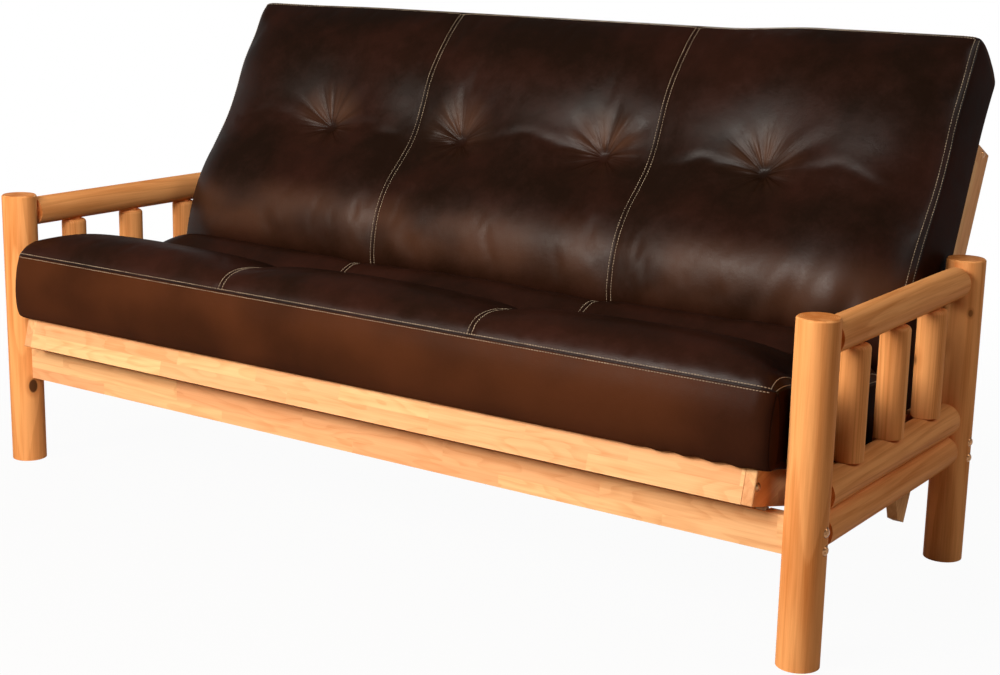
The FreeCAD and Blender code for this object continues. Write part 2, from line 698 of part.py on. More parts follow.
def make_back_deck():
    span = "($deck_width + 2 * $deck_side_gap)"
    upper_mid = back_upper_y + board / 2
    tools = slat_cuts(back_upper_y, -1)
    for side, _ in SIDES:
        tools.append(rod("$bolt_diameter / 2 + $bolt_clearance", "$corner_bolt_length + $hole_spare",
                         (side * back_out_x, upper_mid, 0), (-side, 0, 0)))
    tenoned_rail(span, back_in_x, back_upper_y, "back_top_rail", tools, back_place)
    tenoned_rail(span, back_in_x, back_lower_y, "back_lower_rail",
                 slat_cuts(back_lower_y + board, 1), back_place)
    make_slats(back_lower_y + board, back_upper_y,
               "$back_length - $back_lower_setback - 2 * $deck_board",
               "back_slats", back_place)
    bolts = []
    for side, side_name in SIDES:
        low_x = back_in_x if side > 0 else -back_out_x
        bar = block("$deck_board", "$back_length + $back_tail", "$deck_rail_height",
                    (low_x, -val("back_tail"), -half_rail))
        bar = eased(bar, val("rail_ease"), (3, 7, 11, 12))
        tools = [tail_cut(low_x)]
        tools.append(rail_mortise(side, side * back_in_x, back_upper_y))
        tools.append(rail_mortise(side, side * back_in_x, back_lower_y))
        tools.append(rod("$pivot_diameter / 2 + $running_clearance", "$deck_board * 3",
                         (low_x - board, 0, 0), (1, 0, 0)))
        nut_x = back_out_x - val("pivot_nut_sink") - val("pivot_nut_thickness")
        tools.append(rod("$pivot_nut_diameter / 2 + 2 * $running_clearance", "$deck_board",
                         (side * (nut_x - val("running_clearance") * 2), 0, 0), (side, 0, 0)))
        tools.append(rod("$pivot_diameter / 2 + $bore_gap", "$deck_board * 3",
                         (low_x - board, val("pin_distance"), 0), (1, 0, 0)))
        tools.append(rod("$bolt_diameter / 2 + $bolt_clearance", "$deck_board * 3",
                         (low_x - board, upper_mid, 0), (1, 0, 0)))
        finish(cut(bar, tools), "back_side_rail_" + side_name, back_place)
        bolts.append(dome_bolt("$corner_bolt_head", "$corner_bolt_head_height",
                               "$bolt_diameter", "$corner_bolt_length",
                               (side * back_out_x, upper_mid, 0), (side, 0, 0)))
        make_track_pin(side, side_name)
    finish(grouped(bolts), "back_corner_bolts", back_place)


def make_track_pin(side, side_name):
    """The pin on a back rail that runs in the track, with its nylon sleeve."""
    reach = val("pin_distance")
    sleeve_end = track_out_x - 2 * val("running_clearance")
    head = rod("$pivot_head_diameter / 2", "$pivot_head_height",
               (side * back_in_x, reach, 0), (-side, 0, 0))
    shank = rod("$pivot_diameter / 2",
                "$deck_board + $track_gap + $track_thickness - 4 * $running_clearance",
                (side * back_in_x, reach, 0), (side, 0, 0))
    finish(fuse([head, shank]), "track_pin_" + side_name, back_place)
    start = back_out_x + 2 * val("running_clearance")
    sleeve = rod("$sleeve_diameter / 2",
                 "$track_gap + $track_thickness - 4 * $running_clearance",
                 (side * start, reach, 0), (side, 0, 0))
    eye = rod("$pivot_diameter / 2 + $bore_gap", "$deck_board * 3",
              (side * (back_out_x - board), reach, 0), (side, 0, 0))
    finish(cut(sleeve, [eye]), "track_sleeve_" + side_name, back_place)


def arc(first, middle, last):
    return Part.Arc(first, middle, last).toShape()


def line(first, last):
    return Part.LineSegment(first, last).toShape()


half_fold = (math.pi / 2 + lean - tilt) / 2


def crease_point(depth):
    """A point of the fold's middle plane, set back by the crease's gap."""
    slack = val("crease_gap")
    along = depth * math.cos(half_fold) + slack * math.sin(half_fold)
    rise = depth * math.sin(half_fold) - slack * math.cos(half_fold)
    return along, rise


def seat_section(x, pinch, drawn, tuft):
    """The seat cushion's outline in deck coordinates, at one place along its length."""
    depth = val("seat_depth")
    base = half_rail + val("mattress_gap")
    toe = depth + val("seat_overhang") - drawn * val("end_inset")
    edge = half_rail + val("seat_edge_height") - drawn * val("end_edge_drop")
    draw = pinch + drawn * val("seat_end_draw")
    crown = half_rail + val("seat_crown") - draw
    dip = half_rail + val("seat_dip") - 0.8 * draw - tuft * val("seat_tuft_pinch")
    low = crease_point(base / math.sin(half_fold) + val("crease_gap"))
    top = crease_point(val("crease_depth") - pinch - drawn * val("crease_end_draw"))
    drop = val("seat_front_drop")

    def at(forward, up):
        return Vector(x, -forward, up)

    heel = at(low[0], base)
    sole = at(toe - drop * 0.8, base)
    shin = at(toe - val("seat_front_lean"), base + drop * 0.5)
    lip = at(toe, edge)
    brow = at(toe - 0.18 * depth, crown)
    valley = at(0.5 * depth, dip)
    fold_top = at(*top)
    return Part.Wire([
        line(heel, sole),
        arc(sole, at(toe - val("seat_front_turn"), base + drop * 0.13), shin),
        arc(shin, at(toe + val("seat_front_bulge"),
                     (base + edge) / 2 + val("seat_bulge_rise")), lip),
        arc(lip, at(toe - 0.055 * depth, edge + 0.70 * (crown - edge)), brow),
        arc(brow, at(0.66 * depth, dip + 0.625 * (crown - dip)), valley),
        arc(valley, at(0.5 * (0.5 * depth + top[0]),
                       0.5 * (dip + top[1]) + val("crease_swell")), fold_top),
        line(fold_top, heel),
    ])


def back_section(x, pinch, drawn, tuft):
    """The back cushion's outline in deck coordinates, at one place along its length."""
    full = val("back_length")
    base = half_rail + val("mattress_gap")
    tip = full + val("back_overhang") - drawn * val("end_inset")
    edge = half_rail + val("back_edge_height") - drawn * val("end_edge_drop")
    draw = pinch + drawn * val("back_end_draw")
    sunk = half_rail + val("back_tuft_height") - 0.6 * draw - tuft * val("back_tuft_pinch")
    belly = half_rail + val("back_belly") - draw
    low = crease_point(base / math.sin(half_fold) + val("crease_gap"))
    top = crease_point(val("crease_depth") - pinch - drawn * val("crease_end_draw"))
    tuft_y = 0.80 * full
    lead = val("back_edge_lead")
    drop = val("back_heel_drop")

    def at(along, up):
        return Vector(x, along, up)

    heel = at(low[0], base)
    deck_end = at(full, base)
    nape = at(tip - val("back_heel_inset"), base - drop)
    lip = at(tip + lead, edge)
    valley = at(tuft_y, sunk)
    fold_top = at(*top)
    return Part.Wire([
        line(heel, deck_end),
        arc(deck_end, at(full + 0.5 * val("back_overhang"), base - drop * 0.25), nape),
        arc(nape, at(tip + lead + val("back_end_bulge"),
                     0.5 * (base + edge) - val("back_end_sag")), lip),
        arc(lip, at(0.5 * (tip + tuft_y) + val("back_top_lead"),
                    0.5 * (edge + sunk) + val("back_top_swell")), valley),
        arc(valley, at(0.5 * (tuft_y + top[0]) - val("back_belly_shift"), belly), fold_top),
        line(fold_top, heel),
    ])


def cushion_stations():
    """Places from one end to the middle: distance, seam pinch, share of the end's draw-in, tuft."""
    # towards a sewn end: share of the reach, share of the draw-in
    towards_end = ((0.0, 1.0), (0.02, 0.86), (0.08, 0.66), (0.24, 0.38), (0.5, 0.15), (1.0, 0.0))
    half = seat_x + val("mattress_overhang")
    seam = val("seam_spacing") / 2
    pinch = val("seam_pinch")
    reach = val("tuft_reach")
    inner = val("tuft_spacing") / 2
    outer = inner + val("tuft_spacing")
    end = min(val("end_reach"), 0.9 * (half - outer - reach))
    stations = [(half - end * off, pinch * drawn, drawn, 0.0) for off, drawn in towards_end]
    stations += [(outer + reach, 0.0, 0.0, 0.15), (outer, 0.0, 0.0, 1.0),
                 (outer - reach, 0.0, 0.0, 0.15), (seam, pinch, 0.0, 0.0),
                 (inner + 0.5 * reach, 0.0, 0.0, 0.35), (inner, 0.0, 0.0, 1.0),
                 (inner - reach, 0.0, 0.0, 0.15), (0.0, 0.0, 0.0, 0.0)]
    return stations


def make_cushion(section, label, place):
    stations = cushion_stations()
    rows = [(-x, *rest) for x, *rest in stations[:-1]] + stations[::-1]
    solid = Part.makeLoft([section(*row) for row in rows], True, False, False)
    obj = doc.addObject("Part::Feature", "Cushion")
    obj.Shape = solid
    finish(obj, label, place)


make_frame()
make_track_screws()
make_seat_deck()
make_back_deck()
make_cushion(seat_section, "seat_mattress", seat_place)
make_cushion(back_section, "back_mattress", back_place)
doc.recompute()

faults = [obj.Label for obj in doc.Objects if "Invalid" in obj.State or "Error" in obj.State]
for label, obj in nodes.items():
    if obj.Shape.isNull() or not obj.Shape.isValid() or obj.Shape.Volume <= 0:
        faults.append(label)
if faults:
    raise RuntimeError("these pieces failed: %s" % ", ".join(faults))

os.makedirs("parts", exist_ok=True)
for label, obj in nodes.items():
    obj.Shape.exportStep("parts/%s.step" % label)

box = FreeCAD.BoundBox()
for obj in nodes.values():
    box.add(obj.Shape.BoundBox)
print("pieces", len(nodes), "solids", sum(len(obj.Shape.Solids) for obj in nodes.values()))
print("box", [round(v, 1) for v in (box.XMin, box.XMax, box.YMin, box.YMax, box.ZMin, box.ZMax)])
print("hinge", round(hinge_y, 2), round(hinge_z, 2), "reach", round(sofa_reach, 2),
      round(bed_reach, 2), "roller", round(front_y, 2), round(roller_z, 2))
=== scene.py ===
"""Looks for a log futon: pine logs and boards, bronze bolts, and one sewn leather mattress."""
import json
import math

import bmesh
import bpy
import numpy as np
from mathutils import Matrix, Vector
from mathutils.bvhtree import BVHTree


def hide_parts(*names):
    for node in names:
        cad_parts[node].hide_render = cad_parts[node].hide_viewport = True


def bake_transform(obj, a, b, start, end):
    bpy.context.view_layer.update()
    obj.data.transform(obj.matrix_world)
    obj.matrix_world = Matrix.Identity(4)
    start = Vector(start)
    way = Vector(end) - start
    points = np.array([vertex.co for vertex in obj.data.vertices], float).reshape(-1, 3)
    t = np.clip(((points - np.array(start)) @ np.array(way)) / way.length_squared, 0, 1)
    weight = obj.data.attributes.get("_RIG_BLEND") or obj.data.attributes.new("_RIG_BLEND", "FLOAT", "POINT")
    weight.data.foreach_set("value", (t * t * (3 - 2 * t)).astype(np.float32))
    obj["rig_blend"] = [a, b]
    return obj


bl_info = {
    "name": "Log Futon",
    "version": (1, 0, 0),
    "blender": (4, 5, 0),
    "location": "View3D > Sidebar > Futon",
    "description": "Dresses the packed log futon with wood, metal and leather",
    "category": "Object",
}

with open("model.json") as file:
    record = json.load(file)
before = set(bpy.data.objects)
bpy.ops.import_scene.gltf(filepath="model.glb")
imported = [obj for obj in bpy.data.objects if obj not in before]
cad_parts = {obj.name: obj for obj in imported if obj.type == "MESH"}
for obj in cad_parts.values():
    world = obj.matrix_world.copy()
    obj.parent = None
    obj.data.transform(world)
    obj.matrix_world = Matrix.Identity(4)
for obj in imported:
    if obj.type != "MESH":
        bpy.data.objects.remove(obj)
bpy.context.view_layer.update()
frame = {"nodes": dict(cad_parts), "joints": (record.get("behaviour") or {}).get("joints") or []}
JOINTS = {joint["name"]: joint for joint in frame["joints"]}
HINGE_Y, HINGE_Z = JOINTS["back_fold"]["pos_m"][1:]
SEAT_TILT = math.radians(JOINTS["seat_tilt"]["range_deg"][1])
BACK_RISE = math.radians(-JOINTS["back_fold"]["range_deg"][0]) - SEAT_TILT
HALF_FOLD = (math.pi - BACK_RISE - SEAT_TILT) / 2
QUARTER = math.pi / 2
MM = 0.001


# Settings

def tint(name, description, default):
    """A colour that a user can change."""
    return bpy.props.FloatVectorProperty(
        name=name, description=description, subtype="COLOR", size=3, min=0, max=1, default=default)


def metres(name, description, default):
    """A length that a user can change."""
    return bpy.props.FloatProperty(
        name=name, description=description, subtype="DISTANCE", default=default)


def watts(name, description, default):
    """A lamp's power that a user can change."""
    return bpy.props.FloatProperty(
        name=name, description=description, unit="POWER", default=default)


class FutonWood(bpy.types.PropertyGroup):
    """Colours of the logs and boards"""

    log_light: tint("Log light", "Pale early wood of the peeled logs", (0.92, 0.405, 0.140))
    log_dark: tint("Log dark", "Amber late wood of the peeled logs", (0.62, 0.200, 0.047))
    board_light: tint("Board light", "Palest block of the glued boards", (0.92, 0.54, 0.255))
    board_pink: tint("Board pink", "Pinker block of the glued boards", (0.84, 0.42, 0.20))
    ring_pitch: metres("Ring pitch", "Distance between growth rings", 0.0036)


class FutonLeather(bpy.types.PropertyGroup):
    """Colours and sizes of the mattress cover"""

    brown: tint("Brown", "Darkest tone of the leather", (0.0105, 0.0037, 0.0014))
    mahogany: tint("Mahogany", "Reddish tone that mottles the leather", (0.0345, 0.0093, 0.0050))
    # Painted highlight: a paler tone laid on the belly's ridge and above the back's tufts.
    painted_highlight: tint("Stretched", "Paler tone where the leather is pulled tight or bulges",
                    (0.112, 0.048, 0.0245))
    boxing: tint("Boxing", "Warmer tone of the upright strip round the mattress",
                 (0.105, 0.0315, 0.0085))
    thread: tint("Thread", "Colour of the top stitching", (0.46, 0.35, 0.235))
    half_length: metres("Half length", "From the middle of the mattress to its sewn end", 0.947)
    seam_x: metres("Seam place", "From the middle to each long seam", 0.3175)
    tuft_spacing: metres("Tuft spacing", "Distance between two tufts of a row", 0.386)
    back_tuft: metres("Back tuft depth", "How far the back's tufts are pulled in", 0.034)
    seat_tuft: metres("Seat tuft depth", "How far the seat's tufts are pulled in", 0.016)
    stitch_length: metres("Stitch length", "Length of one stitch of the top stitching", 0.0046)
    stitch_gap: metres("Stitch gap", "Gap between two stitches", 0.0014)
    row_gap: metres("Row gap", "Distance between the two rows of a double seam", 0.0105)


class FutonStage(bpy.types.PropertyGroup):
    """Camera, lamps and floor"""

    lens: bpy.props.FloatProperty(
        name="Lens", description="Focal length of the camera",
        subtype="DISTANCE_CAMERA", default=63.83)
    front_power: watts("Front light", "Power of the near lamp in front of the seat", 52.0)
    left_power: watts("Left light", "Power of the softbox at the front left", 128.0)
    side_power: watts("Side light", "Power of the lamp beyond the right arm", 34.0)
    back_power: watts("Back light", "Power of the lamp behind the back", 105.0)
    sky: bpy.props.FloatProperty(
        name="Room light", description="Strength of the even light from all round", default=0.04)


# Nodes

class Nodes:
    """Adds wired nodes to one node tree."""

    def __init__(self, tree):
        self.tree = tree

    def feed(self, socket, value):
        if isinstance(value, bpy.types.NodeSocket):
            self.tree.links.new(value, socket)
        else:
            socket.default_value = value

    def add(self, kind, inputs=(), **settings):
        node = self.tree.nodes.new(kind)
        for key, value in settings.items():
            setattr(node, key, value)
        for key, value in dict(inputs).items():
            self.feed(node.inputs[key], value)
        return node

    def math(self, operation, first, second=0.0, third=0.0):
        node = self.add("ShaderNodeMath", {0: first, 1: second, 2: third}, operation=operation)
        return node.outputs[0]

    def total(self, first, *others):
        for other in others:
            first = self.math("ADD", first, other)
        return first

    def product(self, first, *others):
        for other in others:
            first = self.math("MULTIPLY", first, other)
        return first

    def largest(self, first, *others):
        for other in others:
            first = self.math("MAXIMUM", first, other)
        return first

    def apart(self, first, second):
        """How far two values lie from each other."""
        return self.math("ABSOLUTE", self.math("SUBTRACT", first, second))

    def limit(self, value):
        """The value kept between 0 and 1."""
        return self.math("MINIMUM", self.math("MAXIMUM", value, 0.0), 1.0)

    def vector(self, operation, first, second=(0.0, 0.0, 0.0)):
        node = self.add("ShaderNodeVectorMath", {0: first, 1: second}, operation=operation)
        return node.outputs["Value" if operation == "LENGTH" else "Vector"]

    def parts(self, vector):
        return self.add("ShaderNodeSeparateXYZ", {0: vector}).outputs

    def joined(self, x=0.0, y=0.0, z=0.0):
        return self.add("ShaderNodeCombineXYZ", {"X": x, "Y": y, "Z": z}).outputs["Vector"]

    def red(self, colour):
        return self.add("ShaderNodeSeparateColor", {0: colour}).outputs[0]

    def mapped(self, vector, scale=(1, 1, 1), turn=(0, 0, 0)):
        node = self.add("ShaderNodeMapping", {"Vector": vector, "Scale": scale, "Rotation": turn})
        return node.outputs["Vector"]

    def noise(self, vector, scale, detail=2.0, roughness=0.5):
        node = self.add("ShaderNodeTexNoise", {"Vector": vector, "Scale": scale,
                                               "Detail": detail, "Roughness": roughness})
        return node.outputs["Fac"]

    def grain(self, vector, scale, detail=2.0, roughness=0.5):
        """Noise that is stretched by a scale of its own on each axis."""
        return self.noise(self.mapped(vector, scale=scale), 1.0, detail, roughness)

    def span(self, value, low, high, to_low=0.0, to_high=1.0):
        """A smooth step from one value to another as the input goes from low to high."""
        node = self.add("ShaderNodeMapRange", {
            "Value": value, "From Min": low, "From Max": high,
            "To Min": to_low, "To Max": to_high}, interpolation_type="SMOOTHSTEP")
        return node.outputs["Result"]

    def blend(self, share, first, second):
        """The first colour, or the second where the share is 1."""
        node = self.add("ShaderNodeMix", {"Factor": share}, data_type="RGBA")
        for socket, value in ((node.inputs[6], first), (node.inputs[7], second)):
            linked = isinstance(value, bpy.types.NodeSocket)
            self.feed(socket, value if linked else (*value[:3], 1.0))
        return node.outputs[2]

    def bump(self, height, strength, distance, before=None):
        node = self.add("ShaderNodeBump", {"Height": height, "Strength": strength,
                                           "Distance": distance})
        if before is not None:
            self.feed(node.inputs["Normal"], before)
        return node.outputs["Normal"]


class Finish(Nodes):
    """One procedural material while its nodes are wired."""

    def __init__(self, name):
        self.material = bpy.data.materials.new(name)
        self.material.use_nodes = True
        super().__init__(self.material.node_tree)
        self.shader = self.tree.nodes["Principled BSDF"]
        self.place = self.add("ShaderNodeTexCoord").outputs["Object"]

    def end_grain(self, turn, axis):
        """1 on the faces that cut the grain, which runs along an axis of the turned frame."""
        facing = self.mapped(self.add("ShaderNodeNewGeometry").outputs["Normal"], turn=turn)
        return self.span(self.math("ABSOLUTE", self.parts(facing)[axis]), 0.80, 0.97)

    def late_wood(self, rings, rise, fall):
        """The dark part of each growth ring: it rises slowly and falls at the ring's edge."""
        ring = self.math("FRACT", rings)
        return self.product(self.span(ring, 0.35, rise), self.span(ring, 1.0, fall))

    def surface(self, **inputs):
        """Sets the shader's sockets, whose names are written with underscores."""
        for key, value in inputs.items():
            self.feed(self.shader.inputs[key.replace("_", " ")], value)
        return self.material


# Wood, metal and nylon

NOISE = (0.3, 0.7)              # the range that most of a noise texture falls in
BLACK = (0.0, 0.0, 0.0, 1.0)
WHITE = (1.0, 1.0, 1.0, 1.0)
GLUE_LINE = (0.45, 0.45, 0.45, 1.0)
RING_SWAY = (0.038, 0.038, 0.0)
KNOT_HALO = (0.50, 0.155, 0.036)
KNOT_HEART = (0.052, 0.018, 0.007)
BOARD_STREAK = (0.58, 0.205, 0.062)
BOARD_END = (0.40, 0.135, 0.040)
RAW_PINE = (0.80, 0.60, 0.36)
BRONZE = ((0.24, 0.112, 0.050), (0.47, 0.240, 0.108))
ZINC = ((0.46, 0.46, 0.44), (0.66, 0.66, 0.63))
NYLON = ((0.72, 0.70, 0.64), (0.80, 0.79, 0.74))
SEAM_SHADE = (0.006, 0.003, 0.002)


def log_finish(name, wood, turn, middle, core, knots=()):
    """A peeled pine log: rings round its core, fine fibres along it, and knots."""
    finish = Finish(name)
    folded = finish.vector("ABSOLUTE", finish.vector("SUBTRACT", finish.place, middle))
    local = finish.mapped(finish.vector("SUBTRACT", folded, core), turn=turn)
    along = finish.mapped(finish.place, turn=turn)
    drift = finish.add("ShaderNodeTexNoise", {
        "Vector": finish.mapped(along, scale=(5.0, 5.0, 0.8)), "Scale": 1.0, "Detail": 1.5})
    sway = finish.vector("MULTIPLY", finish.vector(
        "SUBTRACT", drift.outputs["Color"], (0.5, 0.5, 0.5)), RING_SWAY)
    radius = finish.vector("LENGTH", finish.vector(
        "MULTIPLY", finish.vector("ADD", local, sway), (1.0, 1.0, 0.0)))
    late = finish.late_wood(finish.product(radius, 1.0 / wood.ring_pitch), 0.92, 0.93)
    fibre = finish.grain(along, (420, 420, 9), 3.0, 0.6)
    streak = finish.grain(along, (46, 46, 2.2), 3.0, 0.55)
    broad = finish.grain(along, (7, 7, 2.6))
    worn = finish.grain(along, (18, 18, 6))
    dark = finish.total(
        finish.product(late, 0.32), finish.span(streak, 0.34, 0.68, -0.05, 0.50),
        finish.span(broad, 0.36, 0.70, -0.08, 0.20),
        finish.product(finish.end_grain(turn, "Z"), 0.36),
        finish.span(fibre, 0.35, 0.70, -0.07, 0.13))
    colour = finish.blend(finish.limit(dark), wood.log_light, wood.log_dark)
    cells = finish.add("ShaderNodeTexVoronoi", {
        "Vector": finish.mapped(along, scale=(1.0, 1.0, 0.8)), "Scale": 4.3}).outputs["Distance"]
    knot = finish.span(cells, 0.065, 0.028)
    halo = finish.span(cells, 0.14, 0.05, 0.0, 0.45)
    for point, reach, depth in knots:
        away = finish.vector("LENGTH", finish.vector(
            "DIVIDE", finish.vector("SUBTRACT", finish.place, point), reach))
        knot = finish.largest(knot, finish.span(away, 1.0, 0.72, 0.0, depth))
        halo = finish.largest(halo, finish.span(away, 1.9, 0.9, 0.0, 0.5))
    colour = finish.blend(halo, colour, KNOT_HALO)
    colour = finish.blend(finish.product(knot, 0.92), colour, KNOT_HEART)
    height = finish.total(finish.product(fibre, 0.5), finish.product(late, 0.5))
    return finish.surface(
        Base_Color=colour, Roughness=finish.span(worn, *NOISE, 0.36, 0.52),
        Specular_IOR_Level=0.0, Coat_Weight=0.08, Coat_Roughness=0.28,
        Normal=finish.bump(height, 0.16, 0.0006))


def board_finish(name, wood, turn, block, row, rough=(0.38, 0.52), coat=0.09, fade=0.0):
    """A board glued up from short blocks, with its grain along the blocks."""
    finish = Finish(name)
    along = finish.mapped(finish.place, turn=turn)
    parts = finish.parts(along)
    blocks = finish.add("ShaderNodeTexBrick", {
        "Vector": finish.joined(parts["X"], finish.total(parts["Y"], parts["Z"])),
        "Color1": BLACK, "Color2": WHITE, "Mortar": GLUE_LINE, "Scale": 1.0,
        "Mortar Size": 0.00012, "Mortar Smooth": 0.2, "Bias": 0.0,
        "Brick Width": block, "Row Height": row}, offset=0.37, squash=0.62, squash_frequency=3)
    tone = finish.red(blocks.outputs["Color"])
    moved = finish.vector("ADD", along, finish.joined(
        finish.product(tone, 7.3), finish.product(tone, 3.1)))
    fibre = finish.grain(moved, (9, 420, 420), 3.0, 0.6)
    streak = finish.grain(moved, (2.6, 62, 62), 4.0, 0.6)
    flame = finish.grain(moved, (3.2, 15, 15))
    pores = finish.grain(along, (90, 520, 520))
    worn = finish.grain(along, (5, 14, 14))
    late = finish.late_wood(finish.product(flame, 9.0), 0.9, 0.92)
    colour = finish.blend(finish.span(tone, 0.15, 0.95), wood.board_light, wood.board_pink)
    dark = finish.total(
        finish.product(late, 0.20), finish.span(streak, 0.38, 0.74, 0.0, 0.32),
        finish.span(fibre, 0.36, 0.70, 0.0, 0.13))
    colour = finish.blend(finish.limit(dark), colour, BOARD_STREAK)
    cut = finish.product(finish.end_grain(turn, "X"), finish.span(pores, *NOISE, 0.18, 0.36))
    colour = finish.blend(cut, colour, BOARD_END)
    if fade:
        colour = finish.blend(fade, colour, RAW_PINE)
    return finish.surface(
        Base_Color=colour, Roughness=finish.span(worn, *NOISE, *rough),
        Specular_IOR_Level=0.0, Coat_Weight=coat, Coat_Roughness=0.32,
        Normal=finish.bump(finish.total(fibre, late), 0.12, 0.0006))


def bronze_finish():
    """Antique bronze of the domed bolt heads, brighter in random patches."""
    finish = Finish("antique_bronze")
    patch = finish.noise(finish.place, 260.0, 3.0, 0.6)
    fine = finish.noise(finish.place, 1500.0)
    return finish.surface(
        Base_Color=finish.blend(finish.span(patch, 0.35, 0.70), *BRONZE), Metallic=1.0,
        Roughness=finish.span(patch, *NOISE, 0.26, 0.38), Normal=finish.bump(fine, 0.04, 0.0002))


def steel_finish():
    """Zinc-plated steel of the hidden pins, nuts and washers."""
    finish = Finish("zinc_plate")
    spangle = finish.add("ShaderNodeTexVoronoi", {"Vector": finish.place, "Scale": 420.0})
    fine = finish.noise(finish.place, 900.0)
    return finish.surface(
        Base_Color=finish.blend(finish.red(spangle.outputs["Color"]), *ZINC), Metallic=1.0,
        Roughness=finish.span(fine, *NOISE, 0.28, 0.42), Normal=finish.bump(fine, 0.06, 0.0002))


def nylon_finish():
    """Milky nylon of the rollers, sleeves and stop plates."""
    finish = Finish("milky_nylon")
    cloud = finish.noise(finish.place, 60.0)
    fine = finish.noise(finish.place, 1200.0)
    return finish.surface(
        Base_Color=finish.blend(finish.span(cloud, *NOISE), *NYLON),
        Roughness=finish.span(cloud, *NOISE, 0.38, 0.50), Normal=finish.bump(fine, 0.05, 0.0002))


# Leather and thread

SEAM_EDGE = 0.004               # metres over which a panel's colour gives way at its seam
SEAM_LINE = (0.0022, 0.0004)    # metres from a seam where its dark line starts and is full
TUFT_REACH = (0.772, 0.740)     # metres from the middle where the outer tufts' pleats end
PLEAT_HEIGHTS = (0.006, 0.010)  # pleats round the tufts of the seat and of the back
PLEAT_INNER = (0.006, 0.024)    # metres from a tuft where its pleats start and are full
PLEAT_OUTER = (0.125, 0.020)    # metres from a tuft where its pleats end and are full
FAN_RISE = (-0.015, 0.045)      # metres above a tuft where the painted highlight fan starts and is full
BELLY_BAND = (0.100, 0.010)     # metres from the belly's ridge where its painted highlight band fades in
UPPER_BACK = (0.16, 0.42)       # metres above the fold where the back's top darkens
BOXING_PAINTED_LIGHT = (-0.135, -0.015)  # metres below the front seam over which painted light brightens the boxing towards the seam
BOXING_PAINTED_SHADE = (0.93, 0.70)       # metres from the middle over which painted shade darkens the boxing towards the right end


